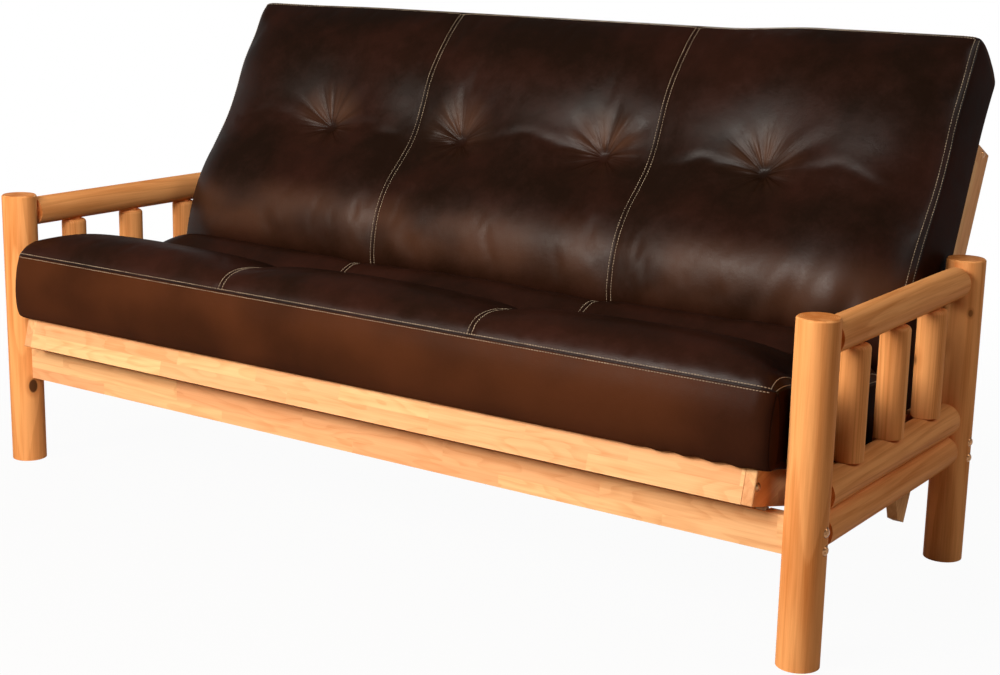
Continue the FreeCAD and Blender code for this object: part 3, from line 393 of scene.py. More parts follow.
def leather_finish(cover, tuft_runs, belly_run):
    """Dark brown leather with mahogany mottling, pebble grain, sewn creases and tuft pleats, painted
    highlights on the belly and above the back's tufts, and painted light and shade on the boxing.
    """
    finish = Finish("mahogany_leather")
    place, half = finish.place, cover.half_length
    cloud = finish.noise(finish.mapped(place, scale=(1.0, 1.0, 1.2)), 5.0, 1.5, 0.45)
    patch = finish.noise(place, 24.0, 3.0, 0.55)
    speck = finish.noise(place, 130.0)
    plan = finish.parts(finish.add("ShaderNodeUVMap", uv_map="Panel").outputs["UV"])
    x, run = plan["X"], plan["Y"]
    off_mid = finish.math("ABSOLUTE", x)
    on_run = finish.product(finish.span(run, -SEAM_EDGE, 0.0),
                            finish.span(run, PANEL_LENGTH + SEAM_EDGE, PANEL_LENGTH))
    on_panel = finish.product(on_run, finish.span(off_mid, half + SEAM_EDGE, half))
    upper = finish.product(on_panel, finish.span(
        finish.math("SUBTRACT", run, SEAT_LENGTH), *UPPER_BACK))
    share = finish.total(
        finish.span(cloud, 0.30, 0.74, 0.14, 0.66), finish.span(patch, 0.32, 0.78, -0.07, 0.12),
        finish.span(speck, 0.4, 0.7, -0.03, 0.04), finish.product(upper, -0.16),
        finish.span(on_run, 0.0, 1.0, 0.30, 0.0))
    colour = finish.blend(finish.limit(share), cover.brown, cover.mahogany)
    # The boxing's own warmer tone, brightened by painted light towards the front seam and darkened by
    # painted shade at the right end.
    boxing = finish.product(
        finish.span(run, *BOXING_PAINTED_LIGHT, 0.30, 0.40), finish.span(cloud, 0.30, 0.66, 0.55, 1.10),
        finish.span(x, *BOXING_PAINTED_SHADE, 0.35, 1.0), finish.span(on_run, 1.0, 0.0))
    colour = finish.blend(boxing, colour, cover.boxing)
    # Painted highlight: a paler band along the belly's ridge, mottled by the cloud noise.
    tight = finish.product(finish.span(finish.apart(run, belly_run), *BELLY_BAND),
                           finish.span(cloud, 0.34, 0.62, 0.10, 0.42))
    steps = finish.math("DIVIDE", x, cover.tuft_spacing)
    across = finish.product(finish.math("SUBTRACT", finish.math("FRACT", steps), 0.5),
                            cover.tuft_spacing)
    between = finish.span(off_mid, *TUFT_REACH)
    normal = None
    for row, pulled in enumerate(tuft_runs):
        along = finish.math("SUBTRACT", run, pulled)
        aim = finish.joined(across, along)
        away = finish.vector("LENGTH", aim)
        other = finish.math("MULTIPLY_ADD", finish.math("FLOOR", steps), 2.7, 1.9 * row)
        ray = finish.noise(finish.vector("ADD", finish.vector("NORMALIZE", aim),
                                         finish.joined(z=other)), 3.1, 2.0, 0.45)
        fade = finish.product(finish.span(away, *PLEAT_INNER), finish.span(away, *PLEAT_OUTER),
                              between)
        pleat = finish.product(finish.math("SUBTRACT", ray, 0.5), fade)
        normal = finish.bump(pleat, 0.8, PLEAT_HEIGHTS[row], normal)
    # The last row is the back's, whose pleats also carry a painted highlight: a paler fan above each tuft.
    fan = finish.product(fade, finish.span(ray, 0.30, 0.66, 0.35, 1.0),
                         finish.span(along, *FAN_RISE, 0.06, 0.62))
    # Both painted highlights, belly band and fan, take the paler highlight tone.
    colour = finish.blend(finish.largest(tight, fan), colour, cover.painted_highlight)
    seam = finish.product(finish.span(finish.apart(off_mid, cover.seam_x), *SEAM_LINE), on_panel)
    for way, edge in ((off_mid, half), (run, 0.0), (run, PANEL_LENGTH)):
        seam = finish.largest(seam, finish.span(finish.apart(way, edge), *SEAM_LINE))
    colour = finish.blend(finish.product(seam, 0.7), colour, SEAM_SHADE)
    pebble = finish.add("ShaderNodeTexVoronoi", {"Vector": place, "Scale": 520.0},
                        feature="SMOOTH_F1").outputs["Distance"]
    grain = finish.total(finish.product(pebble, 0.8),
                         finish.product(finish.noise(place, 900.0), 0.4))
    normal = finish.bump(finish.noise(place, 48.0, 3.0, 0.55), 0.10, 0.004, normal)
    normal = finish.bump(grain, 0.16, 0.0009, normal)
    normal = finish.bump(finish.math("SUBTRACT", 1.0, seam), 0.7, 0.0016, normal)
    rough = finish.total(finish.span(patch, 0.3, 0.75, 0.34, 0.43),
                         finish.span(speck, *NOISE, -0.02, 0.03))
    return finish.surface(
        Base_Color=colour, Roughness=0.6, Specular_IOR_Level=0.0, Normal=normal,
        Coat_Weight=finish.span(on_panel, 0.0, 1.0, 0.05, 0.23), Coat_Roughness=rough,
        Coat_Normal=normal)


def thread_finish(cover):
    """Waxed tan thread with a twisted ply."""
    finish = Finish("waxed_thread")
    twist = finish.noise(finish.place, 1400.0)
    tone = finish.noise(finish.place, 30.0)
    dark = tuple(0.62 * c for c in cover.thread)
    return finish.surface(
        Base_Color=finish.blend(finish.span(tone, 0.35, 0.65), tuple(cover.thread), dark),
        Roughness=finish.span(twist, *NOISE, 0.5, 0.7),
        Specular_IOR_Level=0.3, Normal=finish.bump(twist, 0.25, 0.0003))


def dress(material, names):
    """Gives CAD nodes a finish in every one of their material slots."""
    for name in names:
        slots = frame["nodes"][name].data.materials
        if not len(slots):
            slots.append(material)
        for index in range(len(slots)):
            slots[index] = material


# Mattress outline

def on_seat(forward, up):
    """Seat deck coordinates in millimetres, from the fold line, as a point of the side view."""
    return (HINGE_Y + MM * (-forward * math.cos(SEAT_TILT) + up * math.sin(SEAT_TILT)),
            HINGE_Z + MM * (forward * math.sin(SEAT_TILT) + up * math.cos(SEAT_TILT)))


def on_back(along, up):
    """Back deck coordinates in millimetres, from the fold line, as a point of the side view."""
    return (HINGE_Y + MM * (along * math.cos(BACK_RISE) - up * math.sin(BACK_RISE)),
            HINGE_Z + MM * (along * math.sin(BACK_RISE) + up * math.cos(BACK_RISE)))


def in_crease(deck, depth, gap):
    """A point on one wall of the fold's tuck, at a depth from the fold line."""
    along = depth * math.cos(HALF_FOLD) + gap * math.sin(HALF_FOLD)
    return deck(along, depth * math.sin(HALF_FOLD) - gap * math.cos(HALF_FOLD))


def deck_points(deck, *points):
    return [deck(*point) for point in points]


def crease_points(deck, *points):
    return [in_crease(deck, *point) for point in points]


# Places on the decks, in millimetres
DECK_TOP = 35.4
TUCK = 236
FOLD_FOOT = DECK_TOP / math.sin(HALF_FOLD)
SEAT_FLAT = ((600, DECK_TOP), (350, DECK_TOP), (60, DECK_TOP), (43, DECK_TOP))
BACK_FLAT = ((43, DECK_TOP), (60, DECK_TOP), (400, DECK_TOP), (700, DECK_TOP))
SEAT_TUFT_AT = (378, 217)
BACK_TUFT_AT = (556, 234)
BELLY_AT = (312, 284)
SLACK_LOW = 272
SLACK_HIGH = 280
FOLD_MARK = 250

# Each strip of the cover is drawn twice: through its middle and along its drawn-in ends.
SEAT_TOP = (
    deck_points(on_seat, (703, 169), (698, 187), (682, 205), (656, 218), (620, 226.5),
                (575, 230), (500, 228), (435, 221), (392, 216), (360, 219), (337, 228),
                (320, 240), (303, 255), (284, 267), (264, 272), (246, 269), (232, 259))
    + crease_points(on_seat, (325, 9.5), (298, 8), (268, 5), (247, 2.2), (TUCK, 0)),
    deck_points(on_seat, (684, 169), (672, 171), (655, 173.5), (633, 176.5), (600, 180),
                (560, 183), (480, 186), (400, 186), (340, 187), (300, 190), (265, 196),
                (235, 202), (208, 204), (188, 201.5), (175, 197.5))
    + crease_points(on_seat, (255, 3.2), (247, 2.0), (TUCK, 0)))
BACK_TOP = (
    crease_points(on_back, (TUCK, 0), (247, 2.2), (268, 5), (298, 10), (318, 15))
    + deck_points(on_back, (231, 252), (245, 261), (261, 269), (281, 276), (301, 281.5),
                  (322, 286), (345, 288.5), (370, 288), (400, 284), (429, 277), (452, 268.5),
                  (475, 259), (500, 249.5), (522, 242), (545, 236), (570, 232.5), (604, 231),
                  (648, 232.5), (692, 232), (736, 226), (783, 214), (828, 199), (862, 185),
                  (884, 172)),
    crease_points(on_back, (TUCK, 0), (247, 2.0), (255, 3.2))
    + deck_points(on_back, (175, 198), (188, 203), (206, 207), (235, 209), (300, 210),
                  (384, 208), (445, 203), (505, 194), (573, 183), (640, 179), (713, 181),
                  (775, 174), (835, 166), (870, 163), (884, 163)))
SEAT_BASE = tuple(
    deck_points(on_seat, *lip, *SEAT_FLAT) + crease_points(on_seat, (FOLD_FOOT, 0))
    for lip in (((674, 30), (664, 28), (652, 33.5), (640, 35)),
                ((656, 30), (650, 31), (644, 34), (636, 35))))
BACK_BASE = tuple(
    crease_points(on_back, (FOLD_FOOT, 0)) + deck_points(on_back, *BACK_FLAT, *lip)
    for lip in (((765, 33), (822, 27), (862, 21)), ((760, 33), (815, 27), (852, 21))))
FRONT_BAND = (
    deck_points(on_seat, (674, 30), (688, 48), (699, 80), (705, 112), (706, 140), (703, 169)),
    deck_points(on_seat, (656, 30), (665, 48), (675, 80), (681, 112), (684, 140), (684, 169)))
HEAD_BAND = (
    deck_points(on_back, (862, 21), (877, 40), (887, 75), (892, 112), (892, 145), (884, 172)),
    deck_points(on_back, (852, 21), (865, 40), (875, 75), (881, 112), (884, 140), (884, 163)))


# Mattress form

# Steps of the cover's mesh, and of the chains that it is read from
SEAT_STEPS = 58
BACK_STEPS = 66
BAND_STEPS = 12
MIDDLE_STEPS = 151
CHAIN_STEPS = 401
CURVE_STEPS = 24

# Sizes of the cover, in metres
END_ROLL = 0.036
END_DRAW = 0.150
END_MARKS = (0.027, 0.018, 0.010, 0.004, 0.0)
END_BULGE = 0.005
DRAW_START = 0.11
TUCK_HIDDEN = 0.09
TUCK_SHOWN = 0.07
PAD_RISE = 0.004
PILLOW_RISE = 0.007
SEAM_DIP = 0.004
SEAM_REACH = 0.05
RELIEF_START = 0.05
BUTTON_REACH = 0.022
BOWL_REACH = 0.085
GROOVE_DEPTH = 0.0026
GROOVE_WIDTH = 0.010
CREASE_DEPTH = 0.0042
CREASE_LIP = 0.0016
CREASE_WIDTH = 0.0062
CREASE_START = 0.014
WAVE_RISE = 0.0026
WAVE_FROM = (0.62, 0.14)
WAVE_TO = (0.936, 0.03)
PLAN_GAP = 0.2

# The back's top edge stands higher on the right and lower on the left, in metres
TOP_LIFT = 0.011
TOP_DROP = 0.0035
LIFT_FROM = (0.38, 0.22)
DROP_FROM = (0.55, 0.30)
SETTLE_ALONG = (0.62, 0.26)
SETTLE_UP = (0.03, 0.10)

# Shares and rates of the cover's form
BUTTON_SHARE = 0.46
TUFT_SQUASH = 0.9
CREASE_SPREAD = 0.080
CREASE_TAPER = 1.25
SLACK_LIP = 0.45
LIP_PLACE = 2.0
LIP_WIDTH = 0.9
DRAW_SHARE = 0.7
DRAW_TAPER = 2.2
BULGE_TAPER = 0.7
WAVE_RATE = 118
WAVE_FADE = (1.0, 0.8, 0.3)
FIRST_SEED = 50
AIM_SWING = math.radians(9)

# Creases of one tuft: direction in degrees, length in metres, strength.
STAR = ((34, 0.185, 1.0), (66, 0.095, 0.5), (101, 0.100, 0.55), (138, 0.140, 0.9),
        (179, 0.175, 0.9), (212, 0.125, 0.7), (254, 0.090, 0.5), (287, 0.090, 0.5),
        (333, 0.110, 0.7))

# Slack folds low on the back: first end, last end (x in metres, back deck mm), depth, width.
SLACK = (((0.650, 226), (0.752, 330), 0.0105, 0.024),
         ((0.560, 238), (0.574, 296), 0.0020, 0.022),
         ((-0.612, 246), (-0.640, 312), 0.0036, 0.017),
         ((-0.200, 246), (-0.222, 312), 0.0026, 0.018),
         ((0.842, 250), (0.862, 330), 0.0034, 0.018))


def ease(value, start=0.0, reach=1.0):
    """A smooth step from 0 at the start to 1 beyond its reach."""
    value = np.clip((value - start) / reach, 0, 1)
    return value * value * (3 - 2 * value)


def bell(value):
    """A round bump, 1 at 0 and falling off to both sides."""
    return np.exp(-value ** 2)


def mixed(pair, share):
    """A strip between its middle form and its end form."""
    return (1 - share) * pair[0] + share * pair[1]


def smooth_chain(points, count):
    """Evenly spaced points on a smooth curve through the given ones, and its length."""
    points = np.array(points, float)
    ends = np.vstack([2 * points[0] - points[1], points, 2 * points[-1] - points[-2]])
    dense = []
    t = np.linspace(0, 1, CURVE_STEPS, endpoint=False)[:, None]
    for p0, p1, p2, p3 in zip(ends, ends[1:], ends[2:], ends[3:]):
        a, b, c = (np.linalg.norm(q - p) ** 0.5 for p, q in ((p0, p1), (p1, p2), (p2, p3)))
        start = ((p1 - p0) / a - (p2 - p0) / (a + b) + (p2 - p1) / b) * b
        stop = ((p2 - p1) / b - (p3 - p1) / (b + c) + (p3 - p2) / c) * b
        dense.append((2 * t ** 3 - 3 * t ** 2 + 1) * p1 + (t ** 3 - 2 * t ** 2 + t) * start
                     + (3 * t ** 2 - 2 * t ** 3) * p2 + (t ** 3 - t ** 2) * stop)
    dense = np.vstack(dense + [points[-1:]])
    run = np.concatenate([[0], np.cumsum(np.linalg.norm(np.diff(dense, axis=0), axis=1))])
    wanted = np.linspace(0, run[-1], count)
    return np.column_stack([np.interp(wanted, run, dense[:, k]) for k in (0, 1)]), run[-1]


SEAT_LENGTH, BACK_LENGTH, FRONT_HEIGHT, HEAD_HEIGHT = (
    smooth_chain(strip[0], 2)[1] for strip in (SEAT_TOP, BACK_TOP, FRONT_BAND, HEAD_BAND))
PANEL_LENGTH = SEAT_LENGTH + BACK_LENGTH
BASE_MARK = -FRONT_HEIGHT - PLAN_GAP
UNDERSIDE = BASE_MARK + PLAN_GAP / 2


def panel_runs(seat_steps, back_steps):
    """Evenly spaced runs over the seat and then the back."""
    return np.concatenate([np.linspace(0, SEAT_LENGTH, seat_steps),
                           np.linspace(SEAT_LENGTH, PANEL_LENGTH, back_steps)[1:]])


def panel_chains(seats, backs, seat_steps, back_steps):
    """The middle form and the end form of a strip over the seat and then the back."""
    return [np.vstack([smooth_chain(seat, seat_steps)[0], smooth_chain(back, back_steps)[0][1:]])
            for seat, back in zip(seats, backs)]


class Cover:
    """The mattress cover over its cutting plan: place along X, run from the front seam."""

    def __init__(self, cover):
        self.cover = cover
        self.half = cover.half_length
        self.chains = panel_chains(SEAT_TOP, BACK_TOP, CHAIN_STEPS, CHAIN_STEPS)
        self.runs = panel_runs(CHAIN_STEPS, CHAIN_STEPS)
        rows = ((on_back(*BACK_TUFT_AT), cover.back_tuft),
                (on_seat(*SEAT_TUFT_AT), cover.seat_tuft))
        self.tufts = [
            (place * cover.tuft_spacing / 2, self.run_at(point), depth, 10 * row + place)
            for row, (point, depth) in enumerate(rows) for place in (-3, -1, 1, 3)]

    def run_at(self, point):
        """The run of the middle chain's point that is nearest to this one."""
        return self.runs[np.argmin(np.linalg.norm(self.chains[0] - np.array(point), axis=1))]

    def roll(self, x):
        """1 at the sewn ends and 0 inside them, round as a corner is."""
        t = np.clip((np.abs(x) - self.half + END_ROLL) / END_ROLL, 0, 1)
        return 1 - np.sqrt(1 - t * t)

    def draw_in(self, x, run):
        """How far the ends pull the panel from its middle form to its end form."""
        inside = ease(np.minimum(run, PANEL_LENGTH - run), 0.0, DRAW_START)
        wide = np.clip(1 - (self.half - np.abs(x)) / END_DRAW, 0, 1) ** DRAW_TAPER
        roll = self.roll(x)
        return roll + inside * DRAW_SHARE * (wide - roll)

    def bare(self, x, run):
        """The panel before its relief, as side-view points."""
        share = self.draw_in(x, run)
        return np.column_stack([
            mixed([np.interp(run, self.runs, chain[:, k]) for chain in self.chains], share)
            for k in (0, 1)])

    def panel(self, x, run):
        """The panel with its broad relief, as side-view points."""
        points = self.bare(x, run)
        way = self.bare(x, np.minimum(run + 2 * MM, PANEL_LENGTH)) - self.bare(
            x, np.maximum(run - 2 * MM, 0))
        way /= np.linalg.norm(way, axis=1)[:, None]
        out = np.column_stack([-way[:, 1], way[:, 0]])
        return points + out * self.swell(x, run)[:, None]

    def shown(self, run):
        """0 in the fold's tuck, 1 on the panels that show."""
        return ease(np.abs(run - SEAT_LENGTH), TUCK_HIDDEN, TUCK_SHOWN)

    def off_seam(self, x):
        """Distance from the nearest long seam."""
        return np.abs(np.abs(x) - self.cover.seam_x)

    def swell(self, x, run):
        """Broad relief in metres: pillows between the seams, and the bowls of the tufts."""
        seam_x = self.cover.seam_x
        middle = np.abs(x) < seam_x
        centre = np.where(middle, 0.0, (seam_x + self.half) / 2)
        reach = np.where(middle, seam_x, (self.half - seam_x) / 2)
        pillow = 1 - np.clip((np.abs(x) - centre) / reach, -1, 1) ** 2
        relief = PAD_RISE + PILLOW_RISE * pillow - SEAM_DIP * bell(self.off_seam(x) / SEAM_REACH)
        relief = relief * self.shown(run) * (1 - self.draw_in(x, run))
        relief = relief * ease(np.minimum(run, PANEL_LENGTH - run), 0.0, RELIEF_START)
        for place, pulled, depth, _ in self.tufts:
            r = np.hypot(x - place, TUFT_SQUASH * (run - pulled))
            relief = relief - depth * (BUTTON_SHARE * np.exp(-r / BUTTON_REACH)
                                       + (1 - BUTTON_SHARE) * bell(r / BOWL_REACH))
        return relief

    def star(self, x, run, tuft):
        """The creases that run out from one tuft."""
        place, pulled, depth, seed = tuft
        draw = np.random.default_rng(FIRST_SEED + seed)
        dx, ds = x - place, run - pulled
        relief = 0.0
        for aim, reach, strength in STAR:
            aim = math.radians(180 - aim if place < 0 else aim)
            aim += AIM_SWING * (draw.random() - 0.5)
            reach = reach * (0.8 + 0.4 * draw.random())
            along = dx * math.cos(aim) + ds * math.sin(aim)
            off = np.abs(ds * math.cos(aim) - dx * math.sin(aim))
            width = CREASE_WIDTH + CREASE_SPREAD * np.clip(along, 0, None)
            body = np.clip(1 - along / reach, 0, 1) ** CREASE_TAPER * ease(along, 0.0, CREASE_START)
            body = body * strength * depth / self.cover.back_tuft
            relief = relief - CREASE_DEPTH * body * bell(off / width)
            relief = relief + CREASE_LIP * body * bell(off / width - LIP_PLACE)
        return relief

    def slack(self, x, run, fold):
        """One soft fold where the back's leather hangs slack."""
        first, last, depth, width = fold
        start = np.array([first[0], self.run_at(on_back(first[1], SLACK_LOW))])
        stop = np.array([last[0], self.run_at(on_back(last[1], SLACK_HIGH))])
        way = (stop - start) / np.linalg.norm(stop - start)
        mid = (start + stop) / 2
        half = np.linalg.norm(stop - start) / 2
        along = (x - mid[0]) * way[0] + (run - mid[1]) * way[1]
        off = (run - mid[1]) * way[0] - (x - mid[0]) * way[1]
        lip = SLACK_LIP * bell((np.abs(off) / width - LIP_PLACE) / LIP_WIDTH)
        return depth * bell(along / half) * (lip - bell(off / width))

    def folds(self, x, run):
        """Fine relief in metres: seam grooves, star creases and slack folds."""
        relief = -GROOVE_DEPTH * self.shown(run) * bell(self.off_seam(x) / GROOVE_WIDTH)
        for tuft in self.tufts:
            relief = relief + self.star(x, run, tuft)
        for fold in SLACK:
            relief = relief + self.slack(x, run, fold)
        return relief


def settle(points):
    """Lets the back's top edge stand unevenly, a little higher at the right end."""
    dy, dz = points[:, 1] - HINGE_Y, points[:, 2] - HINGE_Z
    along = dy * math.cos(BACK_RISE) + dz * math.sin(BACK_RISE)
    up = dz * math.cos(BACK_RISE) - dy * math.sin(BACK_RISE)
    x = points[:, 0]
    lift = TOP_LIFT * ease(x, *LIFT_FROM) - TOP_DROP * ease(-x, *DROP_FROM)
    lift = lift * ease(along, *SETTLE_ALONG) * ease(up, *SETTLE_UP)
    moved = points.copy()
    moved[:, 1] += lift * math.cos(BACK_RISE)
    moved[:, 2] += lift * math.sin(BACK_RISE)
    return moved


# Mattress mesh

def cover_faces(index, last, end):
    """The cover's quads: both panels, the front and head bands, and the two ends."""
    faces = []
    top = BAND_STEPS

    def quad(flip, *keys):
        ring = [index[key] for key in keys]
        faces.append(ring[::-1] if flip else ring)

    for i in range(last):
        n = i + 1
        for j in range(end):
            for k, flip in ((top, False), (0, True)):
                quad(flip, (i, j, k), (n, j, k), (n, j + 1, k), (i, j + 1, k))
        for k in range(top):
            for j, flip in ((0, False), (end, True)):
                quad(flip, (i, j, k), (n, j, k), (n, j, k + 1), (i, j, k + 1))
    for i, flip in ((0, True), (last, False)):
        for j in range(end):
            for k in range(top):
                quad(flip, (i, j, k), (i, j + 1, k), (i, j + 1, k + 1), (i, j, k + 1))
    return faces


def mattress_mesh(form):
    """The cover as a closed quad mesh, with each point's place on the cutting plan."""
    half = form.half
    inner = np.linspace(-(half - END_ROLL), half - END_ROLL, MIDDLE_STEPS)
    ends = half - np.array(END_MARKS)
    xs = np.concatenate([-ends[::-1], inner, ends])
    runs = panel_runs(SEAT_STEPS, BACK_STEPS)
    last, rows = len(xs) - 1, len(runs)
    base = panel_chains(SEAT_BASE, BACK_BASE, SEAT_STEPS, BACK_STEPS)
    front, head = ([smooth_chain(points, BAND_STEPS + 1)[0] for points in band]
                   for band in (FRONT_BAND, HEAD_BAND))
    verts, plan, index = [], [], {}

    def keep(key, x, side, u, v):
        index[key] = len(verts)
        verts.append((x, side[0], side[1]))
        plan.append((u, v))

    for i, x in enumerate(xs):
        roll = float(form.roll(x))
        top = form.panel(np.full(rows, x), runs)
        low, fore, aft = (mixed(pair, roll) for pair in (base, front, head))
        wave = WAVE_RISE * math.sin(x * WAVE_RATE) * float(
            ease(x, *WAVE_FROM) * ease(WAVE_TO[0] - x, 0.0, WAVE_TO[1]))
        fore[:, 1] += wave * np.linspace(1, 0, BAND_STEPS + 1) ** 3
        low[:3, 1] += wave * np.array(WAVE_FADE)
        for j in range(rows):
            keep((i, j, BAND_STEPS), x, top[j], x, runs[j])
            keep((i, j, 0), x, low[j], x, BASE_MARK - runs[j])
        for k in range(1, BAND_STEPS):
            share = k / BAND_STEPS
            keep((i, 0, k), x, fore[k], x, FRONT_HEIGHT * (share - 1))
            keep((i, rows - 1, k), x, aft[k], x, PANEL_LENGTH + HEAD_HEIGHT * (1 - share))
    for i, side in ((0, -1), (last, 1)):
        for j in range(1, rows - 1):
            high, low = (np.array(verts[index[(i, j, k)]][1:]) for k in (BAND_STEPS, 0))
            thick = np.linalg.norm(high - low)
            for k in range(1, BAND_STEPS):
                share = k / BAND_STEPS
                bulge = half + END_BULGE * (4 * share * (1 - share)) ** BULGE_TAPER
                keep((i, j, k), side * bulge, low + (high - low) * share,
                     side * (half + thick * (1 - share)), runs[j])
    return settle(np.array(verts)), np.array(plan), cover_faces(index, last, rows - 1)


def new_mesh_object(name, verts, faces):
    mesh = bpy.data.meshes.new(name)
    mesh.from_pydata([tuple(v) for v in verts], [], faces)
    mesh.update()
    piece = bpy.data.objects.new(name, mesh)
    bpy.context.scene.collection.objects.link(piece)
    return piece


def only_active(piece):
    bpy.ops.object.select_all(action="DESELECT")
    piece.select_set(True)
    bpy.context.view_layer.objects.active = piece


# Shares of the seat and the back whose underside lies flat on the slats
SEAT_FLAT_FROM = 0.14
BACK_FLAT_TO = 0.76
PLAN_SLIP = 1e-4

# How far the sewing holds the leather, in metres, and how firmly the boxing is held
EDGE_HOLD = 0.013
SEAM_HOLD = 0.034
TUFT_HOLD = 0.024
BAND_HOLD = 0.6
PINNED = 0.97

# Leather as cloth: stiffness in Blender's units, puffed for some frames within a cap in metres
CLOTH = {"quality": 5, "mass": 0.35, "tension_stiffness": 14, "compression_stiffness": 9,
         "shear_stiffness": 5, "bending_stiffness": 0.9, "shrink_min": -0.004,
         "use_pressure": True, "uniform_pressure_force": 4.0, "pin_stiffness": 1.0}
PUFF_FRAMES = 20
PUFF_CAP = 0.009


def held_points(form, plan):
    """1 where the cover is sewn down or rests on the slats, 0 where it is free."""
    x, run = plan[:, 0], plan[:, 1]
    edge = np.minimum(np.abs(np.abs(x) - form.half), np.abs(run))
    edge = np.minimum(edge, np.abs(run - PANEL_LENGTH))
    held = bell(edge / EDGE_HOLD)
    panel = (run >= 0) & (run <= PANEL_LENGTH) & (np.abs(x) <= form.half)
    held = np.where(panel, held, np.maximum(held, BAND_HOLD))
    sewn = [bell(form.off_seam(x) / SEAM_HOLD), 1 - form.shown(run)]
    for place, pulled, _, _ in form.tufts:
        sewn.append(bell(np.hypot(x - place, run - pulled) / TUFT_HOLD))
    for hold in sewn:
        held = np.where(panel, np.maximum(held, hold), held)
    held = np.where(run < UNDERSIDE, 1.0, held)
    return np.where(held > PINNED, 1.0, held)


def puff(piece, held):
    """Inflates the cover as cloth, holds its sewn points, and keeps the change within a cap."""
    before = np.array([v.co for v in piece.data.vertices])
    group = piece.vertex_groups.new(name="sewn")
    steps = held.round(2)
    for weight in np.unique(steps[steps > 0]):
        group.add([int(k) for k in np.where(steps == weight)[0]], float(weight), "REPLACE")
    only_active(piece)
    cloth = piece.modifiers.new("Puff", "CLOTH")
    for key, value in CLOTH.items():
        setattr(cloth.settings, key, value)
    cloth.settings.effector_weights.gravity = 0.0
    cloth.settings.vertex_group_mass = group.name
    cloth.collision_settings.use_collision = False
    cloth.point_cache.frame_start = 1
    cloth.point_cache.frame_end = PUFF_FRAMES
    scene = bpy.context.scene
    for step in range(1, PUFF_FRAMES + 1):
        scene.frame_set(step)
    bpy.ops.object.modifier_apply(modifier=cloth.name)
    scene.frame_set(1)
    move = np.array([v.co for v in piece.data.vertices]) - before
    far = np.linalg.norm(move, axis=1)
    limit = PUFF_CAP * np.tanh(far / PUFF_CAP) / np.maximum(far, 1e-9)
    move_points(piece, before + move * (limit * (1 - held))[:, None])


def move_points(piece, spots):
    piece.data.vertices.foreach_set("co", spots.astype(np.float32).ravel())
    piece.data.update()


def flatten_base(piece):
    """Joins the faces that lie flat on the slats into one large face for each deck."""
    flats = ((SEAT_FLAT_FROM * SEAT_LENGTH, SEAT_LENGTH),
             (SEAT_LENGTH, SEAT_LENGTH + BACK_FLAT_TO * BACK_LENGTH))
    bpy.ops.object.mode_set(mode="EDIT")
    for low, high in flats:
        bpy.ops.mesh.select_all(action="DESELECT")
        mesh = bmesh.from_edit_mesh(piece.data)
        run = mesh.verts.layers.float["plan_run"]
        for face in mesh.faces:
            flat = all(low - PLAN_SLIP < BASE_MARK - v[run] < high + PLAN_SLIP
                       for v in face.verts)
            face.select_set(flat)
            face.smooth = face.smooth and not flat
        bmesh.update_edit_mesh(piece.data)
        bpy.ops.mesh.dissolve_faces()
    bpy.ops.mesh.select_all(action="DESELECT")
    bpy.ops.object.mode_set(mode="OBJECT")


def plan_of(mesh):
    """Each point's place on the cutting plan, its spot and its normal, as arrays."""
    count = len(mesh.vertices)
    plan = np.zeros((2, count), np.float32)
    for row, name in enumerate(("plan_x", "plan_run")):
        mesh.attributes[name].data.foreach_get("value", plan[row])
    arrays = []
    for name in ("co", "normal"):
        values = np.zeros(count * 3, np.float32)
        mesh.vertices.foreach_get(name, values)
        arrays.append(values.reshape(-1, 3).astype(float))
    return plan.astype(float), arrays[0], arrays[1]


def crease(piece, form):
    """Presses the star creases, slack folds and seam grooves into the finished cover."""
    (x, run), spots, out = plan_of(piece.data)
    panel = (run > SEAM_EDGE) & (run < PANEL_LENGTH - SEAM_EDGE)
    panel = panel & (np.abs(x) < form.half - SEAM_EDGE)
    relief = np.where(panel, form.folds(x, run), 0.0)
    move_points(piece, spots + out * relief[:, None])


def fold_side(gap):
    """A point beside the fold's middle plane: on the seat's side where gap is negative."""
    y, z = in_crease(on_seat if gap < 0 else on_back, FOLD_MARK, abs(gap))
    return (0.0, y, z)


class FUTON_OT_sew_mattress(bpy.types.Operator):
    """Sews the leather mattress, puffs it as cloth and lays it over both decks"""

    bl_idname = "futon.sew_mattress"
    bl_label = "Mattress"

    def execute(self, context):
        cover = context.scene.futon_leather
        form = Cover(cover)
        verts, plan, faces = mattress_mesh(form)
        piece = new_mesh_object("leather_mattress", verts, faces)
        puff(piece, held_points(form, plan))
        mesh = piece.data
        corner = np.zeros(len(mesh.loops), np.int32)
        mesh.loops.foreach_get("vertex_index", corner)
        panel_map = mesh.uv_layers.new(name="Panel")
        panel_map.data.foreach_set("uv", plan[corner].astype(np.float32).ravel())
        for column, name in enumerate(("plan_x", "plan_run")):
            place = mesh.attributes.new(name, "FLOAT", "POINT")
            place.data.foreach_set("value", plan[:, column].astype(np.float32))
        only_active(piece)
        rounder = piece.modifiers.new("Rounder", "SUBSURF")
        rounder.levels = 1
        rounder.render_levels = 1
        bpy.ops.object.modifier_apply(modifier=rounder.name)
        crease(piece, form)
        bpy.ops.object.shade_smooth()
        flatten_base(piece)
        tuft_runs = sorted({pulled for _, pulled, _, _ in form.tufts})
        belly_run = form.run_at(on_back(*BELLY_AT))
        piece.data.materials.append(leather_finish(cover, tuft_runs, belly_run))
        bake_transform(piece, "seat_deck", "back_deck", start=fold_side(-10), end=fold_side(10))
        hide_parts("seat_mattress", "back_mattress")
        return {"FINISHED"}


# Stitching

